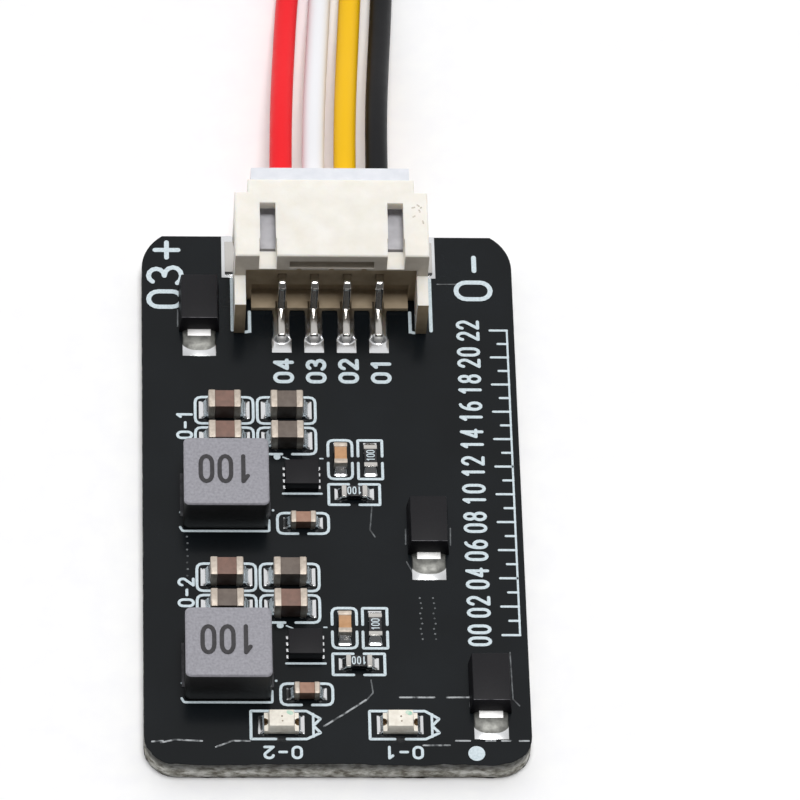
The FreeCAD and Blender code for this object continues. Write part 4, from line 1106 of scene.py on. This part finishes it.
def rounded_line(corners, radius, steps=3):
    """A line through corners, with each inner corner rounded."""
    line = [Vector(corners[0])]
    for before, corner, after in zip(corners, corners[1:], corners[2:]):
        corner = Vector(corner)
        arriving = (Vector(before) - corner).normalized() * radius
        leaving = (Vector(after) - corner).normalized() * radius
        for step in range(steps + 1):
            share = step / steps
            line.append(corner + arriving * (1 - share) ** 2 + leaving * share ** 2)
    return line + [Vector(corners[-1])]


print("ink stands", ink_height, "mm proud of the mask")


# %% [markdown]
# ## A stroke font
# Board printers draw signs as lines of one width with round ends, so a real typeface would
# look wrong here. Each sign is a few lines in a box that is one wide and one tall. Lines that
# cross or meet at a sharp angle are strokes of their own, because one stroke folded over
# itself would show dark nicks.

# %% Stroke font
SIGNS = {
    "0": [arc(0.5, 0.7, 0.5, 0.3, 0, 180) + arc(0.5, 0.3, 0.5, 0.3, 180, 360) + [(1, 0.7)]],
    "1": [[(0.2, 0.78), (0.58, 1)], [(0.58, 1), (0.58, 0)]],
    "2": [arc(0.5, 0.72, 0.5, 0.28, 170, -30) + [(0, 0)], [(0, 0), (1, 0)]],
    "3": [arc(0.42, 0.76, 0.45, 0.24, 150, -90), arc(0.42, 0.26, 0.55, 0.26, 90, -150)],
    "4": [[(0.75, 0), (0.75, 1)], [(0.75, 1), (0, 0.3)], [(0, 0.3), (1, 0.3)]],
    "6": [arc(0.8, 0.35, 0.8, 0.65, 95, 180), arc(0.5, 0.3, 0.5, 0.3, 180, 540, 14)],
    "8": [arc(0.5, 0.76, 0.42, 0.24, -90, 270, 14), arc(0.5, 0.27, 0.5, 0.27, 90, 450, 14)],
    "+": [[(0, 0.45), (1, 0.45)], [(0.5, 0.1), (0.5, 0.8)]],
    "-": [[(0.1, 0.45), (0.9, 0.45)]],
}


def write(pile, text, start, size, advance, turn, stroke, level=board_top):
    """Writes plain signs. start is the first one's lower left corner, turn their angle."""
    wide, tall = size
    ahead = Vector((math.cos(math.radians(turn)), math.sin(math.radians(turn))))
    upwards = Vector((-ahead.y, ahead.x))
    for place, sign in enumerate(text):
        corner = Vector(start) + ahead * (advance * place + stroke / 2) + upwards * stroke / 2
        for line in SIGNS[sign]:
            spots = [corner + ahead * x * (wide - stroke) + upwards * y * (tall - stroke)
                     for x, y in line]
            add_stroke(pile, spots, stroke, level)


print("signs:", " ".join(SIGNS))


# %% [markdown]
# ## Frames round the parts
# A printed frame shows where a part goes, with a gap where solder or a track comes out. Every
# part of one kind has the same frame, so a frame is written once and laid round the middle of
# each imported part.

# %% Frames round the parts
ink = Pile()


def frame_line(middle, width, depth, gap, kind, radius):
    """A printed frame: an open front, open front and rear, or open sides."""
    w, d, g = (width - ink_line) / 2, (depth - ink_line) / 2, gap / 2
    if kind == "front":
        lines = [[(g, -d), (w, -d), (w, d), (-w, d), (-w, -d), (-g, -d)]]
    elif kind == "front and rear":
        lines = [[(g * s, -d), (w * s, -d), (w * s, d), (g * s, d)] for s in (-1, 1)]
    else:
        lines = [[(-w, g * s), (-w, d * s), (w, d * s), (w, g * s)] for s in (-1, 1)]
    for line in lines:
        spots = [(x + middle.x, y + middle.y) for x, y in line]
        add_stroke(ink, rounded_line(spots, radius), ink_line)


# Width, depth, gap, open side and corner radius of each kind's frame
FRAMES = {
    "storage_capacitor": (3.72, 2.09, 0.65, "front", 0.4),
    "tuning_capacitor": (1.64, 2.97, 0.5, "sides", 0.35),
    "tuning_resistor": (1.64, 2.97, 0.5, "sides", 0.06),
    "bridge_resistor": (3.27, 1.64, 0.65, "front and rear", 0.06),
    "input_capacitor": (3.27, 1.64, 0.65, "front", 0.4),
}
for channel in CHANNELS:
    for kind, facts in FRAMES.items():
        for name in chip_parts(kind, channel):
            frame_line(middle_mm(name), *facts)
    x, y, _ = middle_mm("balancer_chip_%d" % channel)
    add_stroke(ink, [(x - 1.15, y - 1.13), (x + 1.2, y - 1.13)], 0.14)
    add_stroke(ink, [(x - 1.1, y + 1.5), (x - 0.72, y + 1.32)], 0.09)
    add_stroke(ink, [(x + 1.15, y + 1.4), (x + 1.32, y + 1.4)], 0.09)
    add_dot(ink, x - 1.47, y + 1.53, 0.42)
    x, y, _ = middle_mm("power_inductor_%d" % channel)
    corners = [(x - 2.75, y - 2.3), (x - 2.62, y - 2.57), (x + 2.63, y - 2.57), (x + 2.63, y - 1.8)]
    add_stroke(ink, rounded_line(corners, 0.1), 0.15)
    add_dot(ink, x + 2.88, y - 1.08, 0.16)
    add_dot(ink, x - 2.72, y - 1.24, 0.16)

# A lamp's frame has a pointed end, which shows the way the current flows
LAMP_FRAME = [
    (-0.33, -0.96), (-1.8, -0.96), (-1.8, 0.96), (1.5, 0.96), (2.33, 0.43),
    (1.9, -0.05), (2.33, -0.53), (1.5, -0.96), (0.33, -0.96),
]
for x, y, _ in lamp_middles.values():
    spots = [(x + aside, y + ahead) for aside, ahead in LAMP_FRAME]
    add_stroke(ink, rounded_line(spots, 0.05), ink_line)
    add_stroke(ink, [(x + 1.9, y + 0.75), (x + 1.9, y - 0.8)], 0.15)
print("frames have", len(ink.faces), "faces")


# %% [markdown]
# ## Numbers beside the parts
# The terminals, channels and lamps have plain numbers, turned as the board is read. The long
# free side carries a plain scale in millimetres, which is of use on any board and easy to
# check: its strokes are laid by a loop, one for each millimetre.

# %% Numbers beside the parts
channel_pitch = bricks[1][0].y - bricks[2][0].y
write(ink, "03+", (-8.88, 13.5), (1.45, 2.35), 1.85, 90, 0.3)
write(ink, "0-", (10.28, 14.19), (1.55, 2.43), 2.0, 90, 0.3)
for number, text in enumerate(("04", "03", "02", "01")):
    write(ink, text, (-2.17 + 2.0 * number, 8.02), (0.84, 1.29), 0.98, 90, 0.24)
for number, text in enumerate(("0-1", "0-2")):
    write(ink, text, (-8.41, 3.9 - channel_pitch * number), (0.62, 1.04), 0.73, 90, 0.17)
for start, text in ((-2.12, "0-2"), (5.04, "0-1")):
    write(ink, text, (start, -17.67), (0.68, 0.92), 0.83, 180, 0.17)

# A stroke for each millimetre, and a longer one with a number for every second
scale_start, scale_end, scale_line = -10, 12, 11.05
for step in range(scale_end - scale_start + 1):
    y = scale_start + step
    numbered = step % 2 == 0
    reach = 1.05 if numbered else 0.6
    add_stroke(ink, [(scale_line - reach, y), (scale_line, y)], 0.15)
    if numbered:
        write(ink, "%02d" % step, (9.35, y - 0.78), (0.68, 1.45), 0.84, 90, 0.2)
add_stroke(ink, [(scale_line, scale_start), (scale_line, scale_end)], 0.12)
print("scale runs", scale_end - scale_start, "mm along the board")


# %% [markdown]
# ## Short marks and the finished legend
# Lines beside the header's legs show where it stands. A few marks between the parts are worn
# down to a veil. They could be left out, but a legend that is whole everywhere looks drawn,
# so they are strokes in a pile of their own, with less height and a greyer finish.

# %% Marks at the header and between the parts
for line in ([(-5.92, 11.95), (-5.92, 15.9)], [(6.36, 11.95), (6.36, 15.9)]):
    add_stroke(ink, line, 0.22)
for line in ([(-4.86, 13.3), (-4.86, 11.85), (-5.12, 11.8)], [(5.07, 13.3), (5.07, 11.85), (5.3, 11.8)]):
    add_stroke(ink, line, 0.2)

faint, worn_height = Pile(), 0.012
for line in (
    [(4.38, -2.53), (4.36, -3.6)], [(7.10, -2.45), (7.07, -3.65)], [(4.38, -4.85), (4.75, -5.63)],
    [(7.91, -13.81), (7.88, -14.97)], [(10.40, -11.21), (10.46, -14.44), (10.83, -14.9)],
    [(-9.29, 13.43), (-9.3, 12.2)], [(6.84, 15.45), (8.77, 15.46)],
    [(2.39, -0.79), (2.23, -2.58), (2.52, -3.08)], [(2.03, -13.13), (2.13, -14.02), (1.63, -14.65)],
):
    add_stroke(faint, line, 0.08, height=worn_height)

# Epoxy ink pressed through a fine screen: bluish white, with the screen's faint grain
white_ink = skin("white_legend_ink", 0.12, 3, [(0.25, "#bccbd2"), (0.6, "#d5e2e8")], 0.5, 0.006)
legend = new_piece("legend_ink", ink, [white_ink])
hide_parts("outline_print")
dot = Pile()
low, high = box_mm("printed_dot")
add_dot(dot, (low.x + high.x) / 2, (low.y + high.y) / 2, high.x - low.x)
dot_piece = new_piece("printed_dot_finished", dot, [white_ink])
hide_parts("printed_dot")
print("legend has", len(ink.faces), "faces")


# %% [markdown]
# ## Edges of the tracks
# Copper tracks run under the mask, and their edges catch the light in broken grey and bright
# lines. Those glints are painted: strokes too, lower than the ink, that a noise pattern breaks
# up. Vias are plated holes that the mask closes, so only rows of dim dots show.

# %% Painted glints and vias
bright_edges = Pile()
for line in (
    [(3.73, -14.33), (5.78, -14.33)], [(6.51, -14.33), (7.84, -14.32)],
    [(5.02, -17.62), (6.6, -17.62)], [(-0.84, -16.33), (0.2, -15.6), (1.7, -14.51)],
    [(6.97, -17.31), (7.8, -17.31)], [(8.75, -17.31), (9.3, -17.31)], [(9.7, -17.31), (10.2, -17.31)],
    [(10.75, -17.31), (11.3, -17.31)], [(-11.03, -17.38), (-10.38, -17.34)],
    [(-10.5, -17.45), (-9.67, -17.25), (-8.07, -17.34)],
    [(-7.25, -17.75), (-6.3, -17.33), (-5.24, -17.33)],
):
    add_stroke(bright_edges, line, 0.11, height=worn_height)
for row in range(9):
    add_dot(faint, -8.85 + 0.03 * (row % 2), -3.1 - 0.46 * row, 0.13, height=worn_height)
    for column in (5.1, 5.9):
        add_dot(faint, column + 0.05 * (row % 3), -7.4 - 0.36 * row, 0.12, height=worn_height)

# Painted highlight along the track edges: broken grey and pale lines, glossy
track_edge_glint = skin("painted_glint_on_track_edges", 0.35, 4, [(0.38, "#33373a"), (0.56, "#a9adb0")], 0.35)
# Ink worn down to a veil: dim grey, in patches
thin_ink = skin("thin_worn_ink", 0.4, 4, [(0.35, "#2b2e31"), (0.65, "#6e7275")], 0.4)
new_piece("track_edge_painted_glints", bright_edges, [track_edge_glint])
new_piece("faint_marks", faint, [thin_ink])
print("scuffs and vias:", len(bright_edges.faces) + len(faint.faces), "faces")


# %% [markdown]
# ## Numbers on the parts
# The inductors are stamped in dark ink and the resistors marked in white glaze, all upside
# down to this camera. Plain values stand there, and each stroke lies on its part's own top.

# %% Numbers on the parts
stamp, glaze_marks = Pile(), Pile()
sunk = 0.03
# Pile, aside and ahead of the part's middle, size, advance, turn and stroke; the glaze of a
# resistor lies a little lower than the metal ends that its box includes
MARKED = {
    "power_inductor": (stamp, 1.55, 1.15, (0.95, 2.06), 1.14, 180, 0.26, 0),
    "bridge_resistor": (glaze_marks, 0.42, 0.28, (0.24, 0.56), 0.31, 180, 0.07, sunk),
    "tuning_resistor": (glaze_marks, 0.26, -0.4, (0.24, 0.52), 0.28, 90, 0.06, sunk),
}
for channel in CHANNELS:
    for kind, (pile, aside, ahead, size, advance, turn, stroke, lower) in MARKED.items():
        name = "%s_%d" % (kind, channel)
        x, y, _ = middle_mm(name)
        top = box_mm(name)[1].z - lower
        write(pile, "100", (x + aside, y + ahead), size, advance, turn, stroke, top)

# Stamp ink pressed on by a rubber pad: near black, uneven where the pad lifted
stamp_ink = skin("dark_stamp_ink", 0.2, 4, [(0.3, "#1f1d20"), (0.75, "#343236")], 0.6)
new_piece("inductor_numbers", stamp, [stamp_ink])
new_piece("resistor_numbers", glaze_marks, [white_ink])
print("numbers stand on", 3 * len(CHANNELS), "parts")


# %% [markdown]
# ## Specks and scuffs
# The last small things are the chip and its wire in each lamp, the green tint beside them,
# and a few scuffs on the header's top where fingers and tools pressed. They are strokes and
# dots of next to no height, laid on the parts' own tops.

# %% Specks and scuffs
# A faint green, as the lamp's chip gives the resin round it
green_tint = skin("green_tinted_resin", 0.3, 2, [(0.35, "#8fcdb4"), (0.65, "#cfe3d2")], 0.25)
# Brown grey, as a sawn chip looks through resin
dark_speck = skin("dark_lamp_chip", 0.05, 2, [(0.35, "#7b6a58"), (0.65, "#9a8a74")], 0.35)
tints, specks, scuffs = Pile(), Pile(), Pile()
speck_height, scuff_height = 0.008, 0.004
for side, (x, y, _) in lamp_middles.items():
    top = box_mm("indicator_lamp_" + side)[1].z
    add_stroke(tints, [(x + 0.42, y + 0.38), (x + 0.56, y + 0.3)], 0.26, top, speck_height)
    add_dot(specks, x + 0.02, y + 0.1, 0.12, top, speck_height)
    add_dot(specks, x + 0.05, y - 0.22, 0.1, top, speck_height)
new_piece("lamp_tints", tints, [green_tint])
new_piece("lamp_specks", specks, [dark_speck])

for x, y, aside, ahead in (
    (5.07, 17.52, 0.16, 0.05), (5.55, 17.22, -0.05, 0.14), (5.7, 16.55, 0.04, -0.18),
    (5.24, 16.92, -0.12, -0.08), (5.4, 17.75, 0.1, -0.1), (5.6, 17.5, 0.03, 0.06),
):
    add_stroke(scuffs, [(x, y), (x + aside, y + ahead)], 0.1, header_high.z, scuff_height)
# Nylon that was rubbed: torn fibres hold dust, so it is browner and duller
scuffed_nylon = skin("scuffed_nylon", 0.1, 3, [(0.35, "#b9ae9f"), (0.65, "#e2dbd0")], 0.7)
new_piece("header_scuffs", scuffs, [scuffed_nylon])
print("specks on", len(lamp_middles), "lamps")


# %% [markdown]
# ## Studio
# The board lies on a white table in a room that is white behind it and dim on the camera's
# side. Even white all round would be simpler, but that dim side is what gives solder its
# black and white streaks and keeps the fronts of the parts dark. The camera sees plain white.

# %% Table and room
# Painted board, matte: it takes the soft shadow and stays white
table_white = skin("painted_white_table", 1.5, 3, [(0.3, "#fbfbfd"), (0.7, "#ffffff")],
                   0.9, 0, {"Specular IOR Level": 0.1})
half_floor = 1.5
floor_corners = [(x * half_floor, y * half_floor, 0) for x, y in ((-1, -1), (1, -1), (1, 1), (-1, 1))]
floor_mesh = bpy.data.meshes.new("table")
floor_mesh.from_pydata(floor_corners, [], [(0, 1, 2, 3)])
floor_mesh.materials.append(table_white)
floor = add_object("table", floor_mesh)
floor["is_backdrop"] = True

world = bpy.data.worlds.new("white_room")
bpy.context.scene.world = world
world.use_nodes = True
tree = world.node_tree
tree.nodes.clear()
direction = add_node(tree, "ShaderNodeTexCoord", {}).outputs["Generated"]
split = add_node(tree, "ShaderNodeSeparateXYZ", {"Vector": direction})
behind = add_node(tree, "ShaderNodeMapRange", {
    "Value": split.outputs["Y"], "From Min": -0.25, "From Max": 0.6, "To Min": 0.14, "To Max": 1.0,
}, interpolation_type="SMOOTHSTEP")
rays = add_node(tree, "ShaderNodeLightPath", {})
strength = add_node(tree, "ShaderNodeMath", {0: behind, 1: rays.outputs["Is Camera Ray"]},
                    operation="MAXIMUM")
room = add_node(tree, "ShaderNodeBackground", {"Color": (1, 1, 1, 1), "Strength": strength})
add_node(tree, "ShaderNodeOutputWorld", {"Surface": room})
print("table is", 2 * half_floor, "m wide")


# %% [markdown]
# ## The lamp
# One square soft box hangs half a metre above the board, a little to its right and front. A
# sun would draw hard edges, and a wider box would light the upright fronts, which are dark on
# the real board.

# %% Soft box
lamp_place, lamp_side, lamp_power = Vector((0.02, -0.01, 0.5)), 0.16, 1.45
lamp_data = bpy.data.lights.new("overhead_box", "AREA")
lamp_data.shape = "SQUARE"
lamp_data.size = lamp_side
lamp_data.energy = lamp_power
soft_box = add_object("overhead_box", lamp_data)
soft_box.location = lamp_place
soft_box.rotation_euler = lamp_place.to_track_quat("Z", "Y").to_euler()
print("soft box stands", round(lamp_place.length, 2), "m away")


# %% [markdown]
# ## Display and size
# Colours are shown as they are, without a film look. The box round all pieces is measured and
# printed in millimetres.

# %% Display and last measures
bpy.context.scene.view_settings.view_transform = "Standard"
low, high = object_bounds()
print("visual model spans", [round(side / MM, 1) for side in high - low], "mm")
